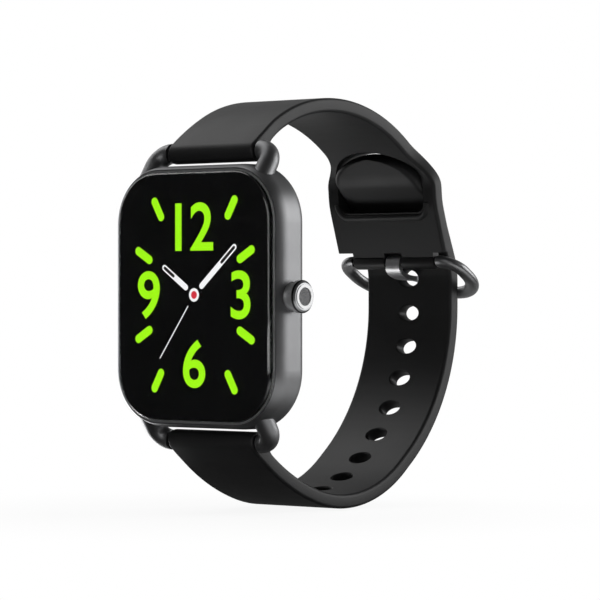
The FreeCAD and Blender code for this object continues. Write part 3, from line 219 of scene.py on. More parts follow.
softbox("light_top", (-0.26, 0.0, 0.38), (0, 0.02, 0), 0.34, 0.34, 0.75)
softbox("light_right", (0.30, 0.32, 0.02), (0.01, 0, 0), 0.34, 0.5, 2.7)
softbox("light_left", (-0.36, 0.10, 0.05), (0, 0, 0), 0.10, 0.4, 0.3)
softbox("light_front", (0.06, -0.60, 0.02), (0, 0, 0), 0.22, 0.5, 0.95)
softbox("light_low", (0.10, -0.30, -0.03), (0, 0.02, -0.01), 0.3, 0.04, 0.1)


# ---- case, lugs and rear -------------------------------------------------------------------------
# Die-cast and blasted alloy with a dark grey vapour coating: satin, with a very fine grain and
# slightly uneven sheen. The lugs are rods of the same stuff, pressed into the case.

def make_finish(name, roughness, metallic, **fixed):
    """A new material with its main shader. What is the same all over is set on its sockets."""
    material = bpy.data.materials.new(name)
    material.use_nodes = True
    finish = Finish(material.node_tree)
    finish.material = material
    surface = finish.node("ShaderNodeBsdfPrincipled")
    finish.node("ShaderNodeOutputMaterial", None, {"Surface": surface})
    finish.main = surface.socket.node
    finish.main.inputs["Roughness"].default_value = roughness
    finish.main.inputs["Metallic"].default_value = metallic
    for socket, value in fixed.items():
        finish.main.inputs[socket.replace("_", " ")].default_value = value
    finish.place = finish.node("ShaderNodeTexCoord", output=3)
    return finish


def grain(finish, size, detail=2.0, stretch=None):
    """Noise whose lumps are about the given size in metres."""
    place = finish.place
    if stretch:
        place = finish.node("ShaderNodeMapping", None, {"Vector": place, "Scale": stretch})
    inputs = {"Vector": place, "Scale": 1.0 / size, "Detail": detail}
    return finish.node("ShaderNodeTexNoise", None, inputs)


def drive(finish, socket, value):
    finish.tree.links.new(value.socket, finish.main.inputs[socket])


def bump(finish, height, depth, strength=0.3):
    inputs = {"Height": height, "Distance": depth, "Strength": strength}
    drive(finish, "Normal", finish.node("ShaderNodeBump", None, inputs))


def paint_nodes(material, *nodes):
    """Put a finish on nodes of the frame."""
    for node in nodes:
        mesh = frame["nodes"][node].data
        mesh.materials.clear()
        mesh.materials.append(material)


def coated_metal(name, colour, pale, roughness):
    """Satin coating on metal. Its colour stays at hand for what is painted over it."""
    finish = make_finish(name, roughness, 0.9)
    cloud = grain(finish, 6 * mm)
    fine = grain(finish, 0.12 * mm, 3.0)
    finish.colour = finish.mix(cloud.smooth(0.35, 0.75), colour, pale)
    drive(finish, "Base Color", finish.colour)
    drive(finish, "Roughness", roughness - 0.03 + cloud * 0.04 + fine * 0.04)
    bump(finish, fine, 0.004 * mm, 0.35)
    return finish


case_metal = coated_metal("case_coating", (0.138, 0.139, 0.142, 1), (0.158, 0.159, 0.162, 1), 0.42)
paint_nodes(case_metal.material, "case_frame", "lug_upper_left", "lug_upper_right",
            "lug_lower_left", "lug_lower_right")


# ---- trim round the glass ------------------------------------------------------------------------
# A thin machined chamfer ring, polished bright, that stands between the case and the glass.
trim = make_finish("polished_trim", 0.34, 1.0)
lines = grain(trim, 0.4 * mm, 3.0, (1.0, 1.0, 0.1))
drive(trim, "Base Color", trim.mix(lines, (0.88, 0.882, 0.89, 1), (0.94, 0.942, 0.95, 1)))
drive(trim, "Roughness", 0.29 + lines * 0.1)
paint_nodes(trim.material, "bezel_trim")


# ---- cover glass ---------------------------------------------------------------------------------
# One toughened pane whose edges are ground down in a soft curve, glued into the trim. Behind it a
# black printed layer hides the frame.
GLASS_HALF_X = 17.65 * mm
GLASS_HALF_Z = 21.15 * mm
GLASS_CORNER = 8.75 * mm
GLASS_FRONT = -10.2 * mm
GLASS_BACK = -9.18 * mm
GLASS_EDGE = 1.2 * mm
GLASS_DROP = 0.55 * mm
GLASS_FOOT = 0.1 * mm
CURVE_STEPS = 10
INK_INSET = 0.15 * mm
INK_FRONT = -9.14 * mm
INK_BACK = -9.115 * mm


def rounded_ring(half_x, half_z, corner, y, steps=14):
    """Points round a rounded rectangle that lies in the plane of the dial."""
    ring = []
    for turn, sx, sz in ((0, 1, 1), (90, -1, 1), (180, -1, -1), (270, 1, -1)):
        for step in range(steps + 1):
            angle = math.radians(turn + 90.0 * step / steps)
            x = sx * (half_x - corner) + corner * math.cos(angle)
            z = sz * (half_z - corner) + corner * math.sin(angle)
            ring.append((x, y, z))
    return ring


def skin_rings(name, rings, close_first=True, close_last=True):
    """Mesh whose skin runs over a row of closed rings of points."""
    shape = bmesh.new()
    rows = [[shape.verts.new(point) for point in ring] for ring in rings]
    for row, following in zip(rows, rows[1:]):
        for index in range(len(row)):
            after = (index + 1) % len(row)
            shape.faces.new((row[index], row[after], following[after], following[index]))
    if close_first:
        shape.faces.new(rows[0][::-1])
    if close_last:
        shape.faces.new(rows[-1])
    bmesh.ops.recalc_face_normals(shape, faces=shape.faces)
    mesh = bpy.data.meshes.new(name)
    shape.to_mesh(mesh)
    shape.free()
    return mesh


def piece(name, mesh, material, body, sharp=40.0):
    """A shown piece: smooth shaded up to a sharp angle, with its finish, riding on its body."""
    mesh.shade_smooth()
    mesh.set_sharp_from_angle(angle=math.radians(sharp))
    mesh.materials.clear()
    mesh.materials.append(material)
    made = bpy.data.objects.new(name, mesh)
    scene.collection.objects.link(made)
    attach(made, body)
    return made




def glass_outline(inset, y):
    """Outline of the pane, drawn in by an inset."""
    return rounded_ring(GLASS_HALF_X - inset, GLASS_HALF_Z - inset, GLASS_CORNER - inset, y)


glass_rings = [glass_outline(GLASS_FOOT, GLASS_BACK)]
for step in range(CURVE_STEPS + 1):
    angle = math.radians(90.0 * step / CURVE_STEPS)
    depth = GLASS_FRONT + GLASS_DROP * (1 - math.sin(angle))
    glass_rings.append(glass_outline(GLASS_EDGE * (1 - math.cos(angle)), depth))
glass_finish = make_finish("toughened_glass", 0.02, 0.0, Transmission_Weight=1.0, IOR=1.5)
smear = grain(glass_finish, 9 * mm, 4.0)
drive(glass_finish, "Roughness", 0.012 + smear.smooth(0.5, 0.8) * 0.02)
drive(glass_finish, "Base Color", glass_finish.mix(smear, (0.93, 0.94, 0.95, 1), (0.97, 0.97, 0.98, 1)))
glass = piece("glass_pane", skin_rings("glass_pane", glass_rings), glass_finish.material, "watch",
              50.0)
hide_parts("cover_glass")

ink_rings = [glass_outline(INK_INSET, y) for y in (INK_BACK, INK_FRONT)]
ink_finish = make_finish("screen_black", 0.6, 0.0, Specular_IOR_Level=0.0)
haze = grain(ink_finish, 5 * mm)
drive(ink_finish, "Base Color", ink_finish.mix(haze, (0.012, 0.012, 0.0125, 1), (0.016, 0.016, 0.0165, 1)))
piece("screen_black", skin_rings("screen_black", ink_rings), ink_finish.material, "watch")


# ---- lit dial ------------------------------------------------------------------------------------
# What the screen shows: a plain quarter-hour dial in lime, white baton hands at about ten past ten
# and a thin seconds hand. It is lit from within, so each mark glows by itself.
DIAL_Y = -9.15 * mm
DIAL_CENTRE = 0.3 * mm
DIAL_HALF_X = 14.35 * mm
DIAL_HALF_Z = 17.46 * mm
LAYER_STEP = 0.006 * mm
NUMERAL_HEIGHT = 8.2 * mm
CAPITAL_SHARE = 0.72
NUMERAL_WEIGHT = 0.022
MARK_LENGTH = 3.0 * mm
MARK_HALF = 0.75 * mm
MARK_INSET = 0.8 * mm
SIDE_MARGIN = 0.6 * mm
END_MARGIN = 0.8 * mm
HAND_START = 2.3 * mm
HAND_HALF = 0.52 * mm
INSET_HALF = 0.28 * mm
HOUR_ANGLE = -56.0
MINUTE_ANGLE = 48.8
SECOND_ANGLE = 216.3


def glow_finish(name, colour, strength):
    """Black that is lit from behind in one colour, a little uneven over the cells of the screen."""
    finish = make_finish(name, 0.5, 0.0, Emission_Strength=strength)
    cells = grain(finish, 0.8 * mm)
    low = tuple(part * 0.97 for part in colour[:3]) + (1,)
    drive(finish, "Emission Color", finish.mix(cells, low, colour))
    finish.main.inputs["Base Color"].default_value = (0.002, 0.002, 0.002, 1)
    return finish.material


lime = glow_finish("lit_lime", (0.381, 1.0, 0.0065, 1), 1.06)
white = glow_finish("lit_white", (1.0, 1.0, 1.0, 1), 1.05)
red = glow_finish("lit_red", (0.66, 0.03, 0.05, 1), 1.0)
dark = glow_finish("unlit_black", (0.004, 0.004, 0.004, 1), 1.0)


def flat_shape(name, outlines, material, layer):
    """A thin lit shape on the dial from outlines in its plane."""
    shape = bmesh.new()
    y = DIAL_Y - layer * LAYER_STEP
    for outline in outlines:
        corners = [shape.verts.new((x, y, z)) for x, z in outline]
        shape.faces.new(corners)
    bmesh.ops.recalc_face_normals(shape, faces=shape.faces)
    mesh = bpy.data.meshes.new(name)
    shape.to_mesh(mesh)
    shape.free()
    return piece(name, mesh, material, "watch")


def baton(angle, start, end, half, steps=8):
    """Outline of a round-ended bar that points from the dial's centre."""
    lean = math.radians(angle)
    along = Vector((math.sin(lean), math.cos(lean)))
    across = Vector((along.y, -along.x))
    outline = []
    for base, turn in ((end, 0), (start, 180)):
        centre = along * base
        for step in range(steps + 1):
            bend = math.radians(turn + 180.0 * step / steps)
            point = centre + across * (half * math.cos(bend)) + along * (half * math.sin(bend))
            outline.append((point.x, point.y + DIAL_CENTRE))
    return outline


def disc(radius, steps=40):
    """Outline of a disc on the dial's centre."""
    turns = [2 * math.pi * step / steps for step in range(steps)]
    return [(radius * math.cos(turn), radius * math.sin(turn) + DIAL_CENTRE) for turn in turns]


def numeral(text, x, z):
    """A plain numeral cut from the stock typeface, thickened, laid on the dial."""
    font = bpy.data.curves.new("numeral_" + text, "FONT")
    font.body = text
    font.size = NUMERAL_HEIGHT / CAPITAL_SHARE
    font.align_x = "CENTER"
    font.offset = NUMERAL_WEIGHT * NUMERAL_HEIGHT
    font.space_character = 0.95
    font.fill_mode = "FRONT"
    holder = bpy.data.objects.new("numeral_" + text, font)
    scene.collection.objects.link(holder)
    bpy.context.view_layer.update()
    seen_from = bpy.context.evaluated_depsgraph_get()
    mesh = bpy.data.meshes.new_from_object(holder.evaluated_get(seen_from))
    bpy.data.objects.remove(holder)
    low = min(vert.co.y for vert in mesh.vertices)
    high = max(vert.co.y for vert in mesh.vertices)
    middle = (min(v.co.x for v in mesh.vertices) + max(v.co.x for v in mesh.vertices)) / 2
    for vert in mesh.vertices:
        flat_x = vert.co.x - middle
        flat_z = (vert.co.y - (low + high) / 2) * NUMERAL_HEIGHT / (high - low)
        vert.co = (x + flat_x, DIAL_Y, z + flat_z)
    return piece("numeral_" + text, mesh, lime, "watch")


numeral("12", 0.0, 11.9 * mm)
numeral("3", 10.6 * mm, DIAL_CENTRE)
numeral("6", 0.0, -11.4 * mm)
numeral("9", -10.6 * mm, DIAL_CENTRE)
hour_marks = []
for hour in (1, 2, 4, 5, 7, 8, 10, 11):
    angle = 30.0 * hour
    lean = math.radians(angle)
    reach_x = (DIAL_HALF_X - SIDE_MARGIN) / abs(math.sin(lean))
    reach_z = (DIAL_HALF_Z - END_MARGIN) / abs(math.cos(lean))
    end = min(reach_x, reach_z) - MARK_INSET
    hour_marks.append(baton(angle, end - MARK_LENGTH, end, MARK_HALF))
flat_shape("hour_marks", hour_marks, lime, 0)
flat_shape("hour_hand", [baton(HOUR_ANGLE, HAND_START, 8.3 * mm, HAND_HALF)], white, 1)
flat_shape("hour_hand_inset", [baton(HOUR_ANGLE, 5.8 * mm, 8.2 * mm, INSET_HALF)], dark, 2)
flat_shape("minute_hand", [baton(MINUTE_ANGLE, HAND_START, 12.2 * mm, HAND_HALF)], white, 1)
flat_shape("minute_hand_inset", [baton(MINUTE_ANGLE, 8.4 * mm, 12.1 * mm, INSET_HALF)], dark, 2)
flat_shape("second_hand", [baton(SECOND_ANGLE, 2.4 * mm, 13.4 * mm, 0.1 * mm)], white, 3)
flat_shape("hand_hub", [disc(1.15 * mm)], white, 4)
flat_shape("hand_hub_centre", [disc(0.66 * mm)], red, 5)


# ---- crown ---------------------------------------------------------------------------------------
# A turned steel button on a thin stem, coated like the case, with a bright polished ring pressed into its
# face and a finely patterned disc inside the ring. The side of the button is painted much paler than its
# coating as a painted highlight, and a dark line near its face is painted shade where the side meets the
# chamfer. It turns, and presses in 0.4 mm.
crown_metal = coated_metal("crown_coating", (0.22, 0.222, 0.226, 1), (0.26, 0.262, 0.266, 1), 0.33)
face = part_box("crown_knob")[1].x
across = crown_metal.node("ShaderNodeSeparateXYZ", None, {0: crown_metal.place}, 0)
# Painted shade: a dark line painted round the button just behind its face, where the chamfer begins.
shade_line_start = across.smooth(face - 0.62 * mm, face - 0.5 * mm)
shade_line_end = across.smooth(face - 0.34 * mm, face - 0.22 * mm)
# Painted highlight: away from its face, the button's side is painted far paler than the coating.
front = across.smooth(face - 0.7 * mm, face - 0.5 * mm)
painted_highlight_side = crown_metal.mix(front, (0.72, 0.722, 0.726, 1), crown_metal.colour)
with_painted_shade_line = crown_metal.mix(shade_line_start * (1 - shade_line_end), painted_highlight_side, (0.012, 0.012, 0.013, 1))
drive(crown_metal, "Base Color", with_painted_shade_line)
paint_nodes(crown_metal.material, "crown_knob")
ring_finish = make_finish("crown_accent", 0.2, 0.15)
polish = grain(ring_finish, 0.3 * mm)
drive(ring_finish, "Base Color", ring_finish.mix(polish, (0.4, 0.4, 0.403, 1), (0.48, 0.48, 0.483, 1)))
paint_nodes(ring_finish.material, "crown_ring")
disc_finish = make_finish("crown_disc_weave", 0.5, 0.5)
weave_inputs = {"Vector": disc_finish.place, "Scale": 1 / (0.22 * mm)}
checks = disc_finish.node("ShaderNodeTexVoronoi", None, weave_inputs)
drive(disc_finish, "Base Color", disc_finish.mix(checks.smooth(0.2, 0.7), (0.03, 0.03, 0.031, 1),
                                                 (0.075, 0.075, 0.077, 1)))
bump(disc_finish, checks, 0.03 * mm, 0.6)
paint_nodes(disc_finish.material, "crown_disc")


# ---- silicone straps -----------------------------------------------------------------------------
# Two soft black silicone straps, moulded flat and bent round the wrist: matte, with rounded edges and
# a tube at one end for the spring bar. The material is a fine blasted mould texture with a little dust.
HEAD_HALF = 9.8 * mm
BAND_HALF = HEAD_HALF - 0.35 * mm
BAND_THICK = 2.5 * mm
HEAD_RADIUS = 1.86 * mm
BAR_Y = -4.0 * mm
BAR_Z = 24.7 * mm
BAR_BORE = 0.95 * mm
BORE_REACH = 20 * mm
LINE_OFFSET = 0.45 * mm  # centre line outside the bar's axis
HEAD_BLEND = 4.5 * mm  # from the tube to the flat band
EDGE_ROUND = 0.55 * mm
EDGE_BEVEL = 0.6 * mm
EDGE_STEPS = 6
STATION_STEP = 0.5 * mm
LEVER_LEAN = 30.0
LEVER_HALF = 0.95 * mm
LEVER_OUT = 6.5 * mm  # x of the two round ends of the lever's hole
LEVER_IN = 5.4 * mm
LEVER_STEPS = 12

silicone = make_finish("strap_silicone", 0.52, 0.0, Specular_IOR_Level=0.25)
broad = grain(silicone, 7 * mm, 3.0)
skin = grain(silicone, 0.09 * mm, 2.0)
dust = grain(silicone, 0.35 * mm, 5.0).smooth(0.66, 0.78)
black = silicone.mix(broad, (0.008, 0.008, 0.0083, 1), (0.0115, 0.0115, 0.012, 1))
drive(silicone, "Base Color", silicone.mix(dust * 0.08, black, (0.04, 0.04, 0.04, 1)))
drive(silicone, "Roughness", 0.47 + broad * 0.08 + dust * 0.1)
bump(silicone, skin, 0.006 * mm, 0.4)


def centre_line(up, angle, runs):
    """Stations (distance, y, z, heading) along tangent straights and arcs from a spring bar."""
    lean = math.radians(angle)
    y = BAR_Y - up * math.sin(lean) * LINE_OFFSET
    z = up * (BAR_Z + math.cos(lean) * LINE_OFFSET)
    walked = 0.0
    stations = [(0.0, y, z, lean)]
    for size, sweep in runs:
        bend = math.radians(sweep)
        length = size * mm if sweep == 0 else abs(bend) * size * mm
        count = max(2, round(length / STATION_STEP))
        for _ in range(count):
            y += math.cos(lean + bend / count / 2) * length / count
            z += math.sin(lean + bend / count / 2) * length / count
            lean += bend / count
            walked += length / count
            stations.append((walked, y, z, lean))
    return stations


def soft_step(value, low, high):
    """0 below low, 1 above high, with a soft step between."""
    share = min(max((value - low) / (high - low), 0.0), 1.0)
    return share * share * (3 - 2 * share)


def head_half(distance, band_half):
    """Half width of a strap that leaves the spring bar at the head's width."""
    return HEAD_HALF + (band_half - HEAD_HALF) * soft_step(distance, 2 * mm, 8 * mm)


def faces_at(distance):
    """Outer and inner face, measured outwards from the centre line: a tube, then a flat band."""
    if distance <= 0:
        rise = math.sqrt(max(HEAD_RADIUS ** 2 - distance ** 2, 0.0))
        return rise - LINE_OFFSET, -rise - LINE_OFFSET
    share = soft_step(distance, 0.0, HEAD_BLEND)
    outer = HEAD_RADIUS - LINE_OFFSET
    inner = -HEAD_RADIUS - LINE_OFFSET
    return outer + (BAND_THICK / 2 - outer) * share, inner + (-BAND_THICK / 2 - inner) * share


def with_head(stations):
    """The stations with the round end behind the spring bar added in front."""
    _, y, z, lean = stations[0]
    added = []
    for step in range(12):
        back = HEAD_RADIUS * math.cos(math.radians(2.0 + 88.0 * step / 12))
        added.append((-back, y - math.cos(lean) * back, z - math.sin(lean) * back, lean))
    return added + stations


def loft_strap(name, stations, up, half_width, bevel):
    """Skin a strap over its stations; bevel gives the width and depth of the inner face's edge."""
    rings = []
    for distance, y, z, lean in stations:
        half = half_width(distance, z)
        outer, inner = faces_at(distance)
        middle = (outer + inner) / 2
        wide, deep = bevel(distance)
        wide = min(wide, half * 0.9)
        deep = min(deep, middle - inner)
        edge = min(EDGE_ROUND, outer - middle, half * 0.9)
        side = []
        turns = [math.radians(90.0 * step / EDGE_STEPS) for step in range(EDGE_STEPS + 1)]
        for turn in turns:
            side.append((half - wide * (1 - math.sin(turn)), inner + deep * (1 - math.cos(turn))))
        for turn in turns:
            side.append((half - edge * (1 - math.cos(turn)), outer - edge * (1 - math.sin(turn))))
        spread = [0.5 * half, 0.0, -0.5 * half]
        section = side + [(x, outer) for x in spread] + [(-x, v) for x, v in side[::-1]]
        section += [(-x, inner) for x in spread]
        rings.append([(x, y - up * math.sin(lean) * v, z + up * math.cos(lean) * v) for x, v in section])
    return skin_rings(name, rings)


def turned(name, profile, origin, axis, steps=40):
    """Mesh turned round an axis from (radius, distance along the axis) points."""
    along = Vector(axis).normalized()
    aside = along.orthogonal().normalized()
    third = along.cross(aside)
    rings = []
    for radius, distance in profile:
        ring = []
        for step in range(steps):
            turn = 2 * math.pi * step / steps
            spoke = aside * math.cos(turn) + third * math.sin(turn)
            ring.append(tuple(Vector(origin) + along * distance + spoke * radius))
        rings.append(ring)
    return skin_rings(name, rings)


def bore_along_x(name, radius, y, z):
    """Cutter for a bore right across a strap."""
    return turned(name, [(radius, -BORE_REACH), (radius, BORE_REACH)], (0, y, z), (1, 0, 0))


def combine(mesh, tools, operation):
    """Cut the tool meshes from a mesh, or melt them into it."""
    body = bpy.data.objects.new("work", mesh)
    scene.collection.objects.link(body)
    helpers = []
    for tool in tools:
        helper = bpy.data.objects.new("tool", tool)
        scene.collection.objects.link(helper)
        helpers.append(helper)
        step = body.modifiers.new("step", "BOOLEAN")
        step.operation = operation
        step.solver = "MANIFOLD"
        step.object = helper
    bpy.context.view_layer.update()
    shown = body.evaluated_get(bpy.context.evaluated_depsgraph_get())
    result = bpy.data.meshes.new_from_object(shown)
    for used in [body] + helpers:
        bpy.data.objects.remove(used)
    return result


def even_shading(mesh, stations):
    """Shade the two broad faces of a cut strap as evenly as before the cuts."""
    finder = kdtree.KDTree(len(stations))
    for index, (_, y, z, _) in enumerate(stations):
        finder.insert((0, y, z), index)
    finder.balance()
    normals = []
    for vert in mesh.vertices:
        (_, first, near), (_, second, far) = finder.find_n((0, vert.co.y, vert.co.z), 2)
        share = near / (near + far)
        lean = stations[first][3] * (1 - share) + stations[second][3] * share
        flat = min(stations[first][0], stations[second][0]) > 5 * mm
        normals.append(Vector((0, -math.sin(lean), math.cos(lean))) if flat else Vector())
    custom = [(0, 0, 0)] * len(mesh.loops)
    for polygon in mesh.polygons:
        facing = [polygon.normal.dot(normals[index]) for index in polygon.vertices]
        if min(abs(part) for part in facing) < 0.998:
            continue
        side = 1 if facing[0] > 0 else -1
        for loop in polygon.loop_indices:
            custom[loop] = normals[mesh.loops[loop].vertex_index] * side
    mesh.normals_split_custom_set(custom)


def lever_slot(up):
    """Cutter for the hole in the tube that the spring bar's thumb lever slides in."""
    lean = math.radians(LEVER_LEAN)
    out = Vector((0, math.cos(lean), -up * math.sin(lean)))
    aside = Vector((0, up * math.sin(lean), math.cos(lean)))
    rings = []
    for distance in (0.3 * mm, 4.5 * mm):
        ring = []
        for centre, start in ((LEVER_OUT, -90), (LEVER_IN, 90)):
            for step in range(LEVER_STEPS + 1):
                turn = math.radians(start + 180.0 * step / LEVER_STEPS)
                point = out * distance + aside * (LEVER_HALF * math.sin(turn))
                x = centre + LEVER_HALF * math.cos(turn)
                ring.append((x, BAR_Y + point.y, up * BAR_Z + point.z))
        rings.append(ring)
    return skin_rings("lever_slot", rings)


# ---- upper strap ---------------------------------------------------------------------------------
# Flares at the buckle end round a slot that the other strap's tail is tucked through. The slot has a
# raised lip, and a knuckle under the strap's end holds the buckle pin.
UPPER_RUNS = [(2.6, 0), (28.21, -29.8), (32.38, -52.7), (8.3, -42.8), (0.8, 0), (13.4, 13.5), (7.4, 0)]
FLARE_HALF = HEAD_HALF + 2.8 * mm
FLARE_LOW = BAR_Z - 4.7 * mm
FLARE_HIGH = BAR_Z + 2.0 * mm
FLARE_PAST = 30 * mm  # along the strap
BUCKLE_SIDE = 30 * mm  # y behind which the loop's buckle side lies
CUT_REACH = 60 * mm
upper = centre_line(1, 39.8, UPPER_RUNS)
upper_end = upper[-1]


def upper_half(distance, z):
    """Half width of the upper strap: its band, then the flare round the slot."""
    if distance < FLARE_PAST:
        return head_half(distance, BAND_HALF)
    return BAND_HALF + (FLARE_HALF - BAND_HALF) * (1 - soft_step(z, FLARE_LOW, FLARE_HIGH))


def plain_bevel(distance):
    """Width and depth of the bevel along the inner edges, the same all along."""
    return EDGE_BEVEL, EDGE_BEVEL


def beyond(station, distance):
    """Point straight on from a station of a centre line."""
    _, y, z, lean = station
    return Vector((0, y + math.cos(lean) * distance, z + math.sin(lean) * distance))


PIN_OFFSET = 2.1 * mm
PIN_BORE = 0.75 * mm
pin = beyond(upper_end, PIN_OFFSET)
KNUCKLE_HALF = HEAD_HALF - 0.4 * mm
KNUCKLE_EDGE = [(1.05 * mm, 0.0), (1.26 * mm, 0.09 * mm), (1.35 * mm, 0.3 * mm)]
knuckle_profile = [(radius, inset - KNUCKLE_HALF) for radius, inset in KNUCKLE_EDGE]
knuckle_profile += [(radius, KNUCKLE_HALF - inset) for radius, inset in reversed(KNUCKLE_EDGE)]
WEB_THICK = 1.5 * mm
WEB_OVERLAP = 0.5 * mm
NOTCH_DEPTH = 6.0 * mm
NOTCH_HALF = 2.0 * mm


def strap_block(name, start, end, thick, half):
    """Flat block that carries on from the upper strap's end, between two distances."""
    lean = upper_end[3]
    normal = Vector((0, -math.sin(lean), math.cos(lean)))
    rings = []
    for distance in (start, end):
        point = beyond(upper_end, distance)
        ring = []
        for x, v in ((half, -thick / 2), (half, thick / 2), (-half, thick / 2), (-half, -thick / 2)):
            ring.append(tuple(point + Vector((x, 0, 0)) + normal * v))
        rings.append(ring)
    return skin_rings(name, rings)


SLOT_HALF = HEAD_HALF + 0.15 * mm
SLOT_LOW = BAR_Z - 9.5 * mm
SLOT_HIGH = BAR_Z + 1.28 * mm
SLOT_SPRING = BAR_Z - 3.7 * mm  # where the arch begins
SLOT_CORNER = 1.9 * mm


def slot_side():
    """Half of the slot's outline as (x, z), from the middle of its foot to the middle of its arch."""
    inner = SLOT_HALF - SLOT_CORNER
    outline = [(0.0, SLOT_LOW), (0.5 * inner, SLOT_LOW)]
    for step in range(9):
        turn = math.radians(-90.0 + 90.0 * step / 8)
        rise = SLOT_CORNER * (1 + math.sin(turn))
        outline.append((inner + SLOT_CORNER * math.cos(turn), SLOT_LOW + rise))
    for step in range(21):
        turn = math.radians(90.0 * step / 20)
        rise = (SLOT_HIGH - SLOT_SPRING) * math.sin(turn)
        outline.append((SLOT_HALF * math.cos(turn), SLOT_SPRING + rise))
    return outline


right_side = slot_side()
slot_ring = right_side + [(-x, z) for x, z in right_side[-2:0:-1]]
slot_cutter = skin_rings("slot", [[(x, y, z) for x, z in slot_ring] for y in (BUCKLE_SIDE, CUT_REACH)])
upper_mesh = loft_strap("upper_strap", with_head(upper), 1, upper_half, plain_bevel)
knuckle = turned("knuckle", knuckle_profile, pin, (1, 0, 0))
web = strap_block("web", -WEB_OVERLAP, PIN_OFFSET, WEB_THICK, KNUCKLE_HALF)
upper_mesh = combine(upper_mesh, [web, knuckle], "UNION")
notch = strap_block("notch", 0.0, NOTCH_DEPTH, NOTCH_DEPTH, NOTCH_HALF)
pin_bore = bore_along_x("pin_bore", PIN_BORE, pin.y, pin.z)
bar_bore = bore_along_x("bar_bore", BAR_BORE, BAR_Y, BAR_Z)
upper_mesh = combine(upper_mesh, [slot_cutter, notch, pin_bore, bar_bore, lever_slot(1)], "DIFFERENCE")


def surface_at(z):
    """Place and heading of the upper strap's centre line where it falls past a height."""
    for before, after in zip(upper, upper[1:]):
        if before[1] > BUCKLE_SIDE and after[2] <= z <= before[2]:
            share = (before[2] - z) / (before[2] - after[2])
            lean = before[3] + (after[3] - before[3]) * share
            return before[1] + (after[1] - before[1]) * share, lean
    return upper_end[1], upper_end[3]


LIP_PROFILE = [(-0.06, 0.0), (-0.06, 0.1), (0.06, 0.27), (0.3, 0.35), (0.6, 0.34), (0.85, 0.22),
               (1.05, 0.05), (1.25, -0.08)]
LIP_TOP = BAR_Z - 5.3 * mm
LIP_FADE = 2.6 * mm
LIP_SUNK = 0.12
lip_side = [point for point in slot_side() if point[1] < SLOT_SPRING]
lip_path = [(-x, z) for x, z in lip_side[:0:-1]] + lip_side
lip_rings = []
for index, (x, z) in enumerate(lip_path):
    before = lip_path[max(index - 1, 0)]
    after = lip_path[min(index + 1, len(lip_path) - 1)]
    along = Vector((after[0] - before[0], after[1] - before[1])).normalized()
    outwards = Vector((along.y, -along.x))
    proud = soft_step(LIP_TOP - z, 0.0, LIP_FADE)
    ring = []
    for face in (1, -1):
        profile = LIP_PROFILE if face > 0 else LIP_PROFILE[::-1]
        for across, height in profile:
            px = x + outwards.x * across * mm
            pz = z + outwards.y * across * mm
            y, lean = surface_at(pz)
            v = face * (BAND_THICK / 2 + (height * proud - LIP_SUNK * (1 - proud)) * mm)
            ring.append((px, y - math.sin(lean) * v, pz + math.cos(lean) * v))
    lip_rings.append(ring)
lip_mesh = skin_rings("slot_lip", lip_rings)

upper_piece = piece("upper_strap_silicone", upper_mesh, silicone.material, "watch", 32.0)
even_shading(upper_piece.data, upper)
piece("slot_lip", lip_mesh, silicone.material, "watch", 50.0)
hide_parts("upper_strap")


# ---- lower strap ---------------------------------------------------------------------------------
# The plain strap, with a row of adjustment holes whose rims are rounded off in the mould, and a
# rounded tail with a wide bevel that is tucked inwards through the slot.
LOWER_RUNS = [(1.8, 0), (38.94, 25.3), (24.9, 55.9), (2.1, 0), (34.78, 50.9), (4.6, 0), (12, 22), (8, 0),
              (7, 26), (4.5, 0), (8, -20), (3.15, 0)]
LOWER_HALF = HEAD_HALF
HOLE_PITCH = 6.3 * mm
HOLE_COUNT = 9
HOLES_FROM_Y = 40 * mm
FIRST_HOLE = 3.3 * mm
TAIL_ROUND = 5.2 * mm
TAIL_TIP_HALF = 0.35 * mm
TAIL_BEVEL_START = 9 * mm
TAIL_BEVEL_FULL = 3 * mm
TAIL_BEVEL_WIDE = 1.1 * mm
TAIL_BEVEL_DEEP = 0.6 * mm
lower = centre_line(-1, -42.1, LOWER_RUNS)
tail_end = lower[-1][0]


def lower_half(distance, z):
    """Half width of the lower strap: its band, then the rounded tail."""
    into = (distance - (tail_end - TAIL_ROUND)) / TAIL_ROUND
    if into <= 0:
        return head_half(distance, LOWER_HALF)
    return max(LOWER_HALF * math.sqrt(max(1 - into * into, 0.0)), TAIL_TIP_HALF)


def tail_bevel(distance):
    """Width and depth of the bevel along the inner edges, wider at the tail."""
    share = soft_step(distance, tail_end - TAIL_BEVEL_START, tail_end - TAIL_BEVEL_FULL)
    return EDGE_BEVEL + TAIL_BEVEL_WIDE * share, EDGE_BEVEL + TAIL_BEVEL_DEEP * share


def at_distance(stations, distance):
    """Station at a distance along a strap, between its neighbours."""
    for before, after in zip(stations, stations[1:]):
        if before[0] <= distance <= after[0]:
            share = (distance - before[0]) / (after[0] - before[0])
            return tuple(first + (second - first) * share for first, second in zip(before, after))
    return stations[-1]


def with_round_tail(stations):
    """Closer stations over the rounded tail end."""
    start = tail_end - TAIL_ROUND
    kept = [station for station in stations if station[0] < start]
    for step in range(25):
        into = math.sin(math.radians(90.0 * step / 24))
        kept.append(at_distance(stations, start + TAIL_ROUND * into * 0.9995))
    return kept


lower_mesh = loft_strap("lower_strap", with_head(with_round_tail(lower)), -1, lower_half, tail_bevel)
first = next(station for station in lower if station[1] > HOLES_FROM_Y and station[2] > FIRST_HOLE)
HOLE_HALF_WIDTH = 2.25 * mm
HOLE_HALF_LENGTH = 1.36 * mm
USED_HOLE_WEAR = 0.3 * mm
HOLE_STEPS = 48
RIM_SIDE = [(0.7, 1.9), (0.22, 1.28), (0.08, 1.14), (0.0, 0.95)]
HOLE_RIM = [(wider, -depth) for wider, depth in RIM_SIDE] + RIM_SIDE[::-1]


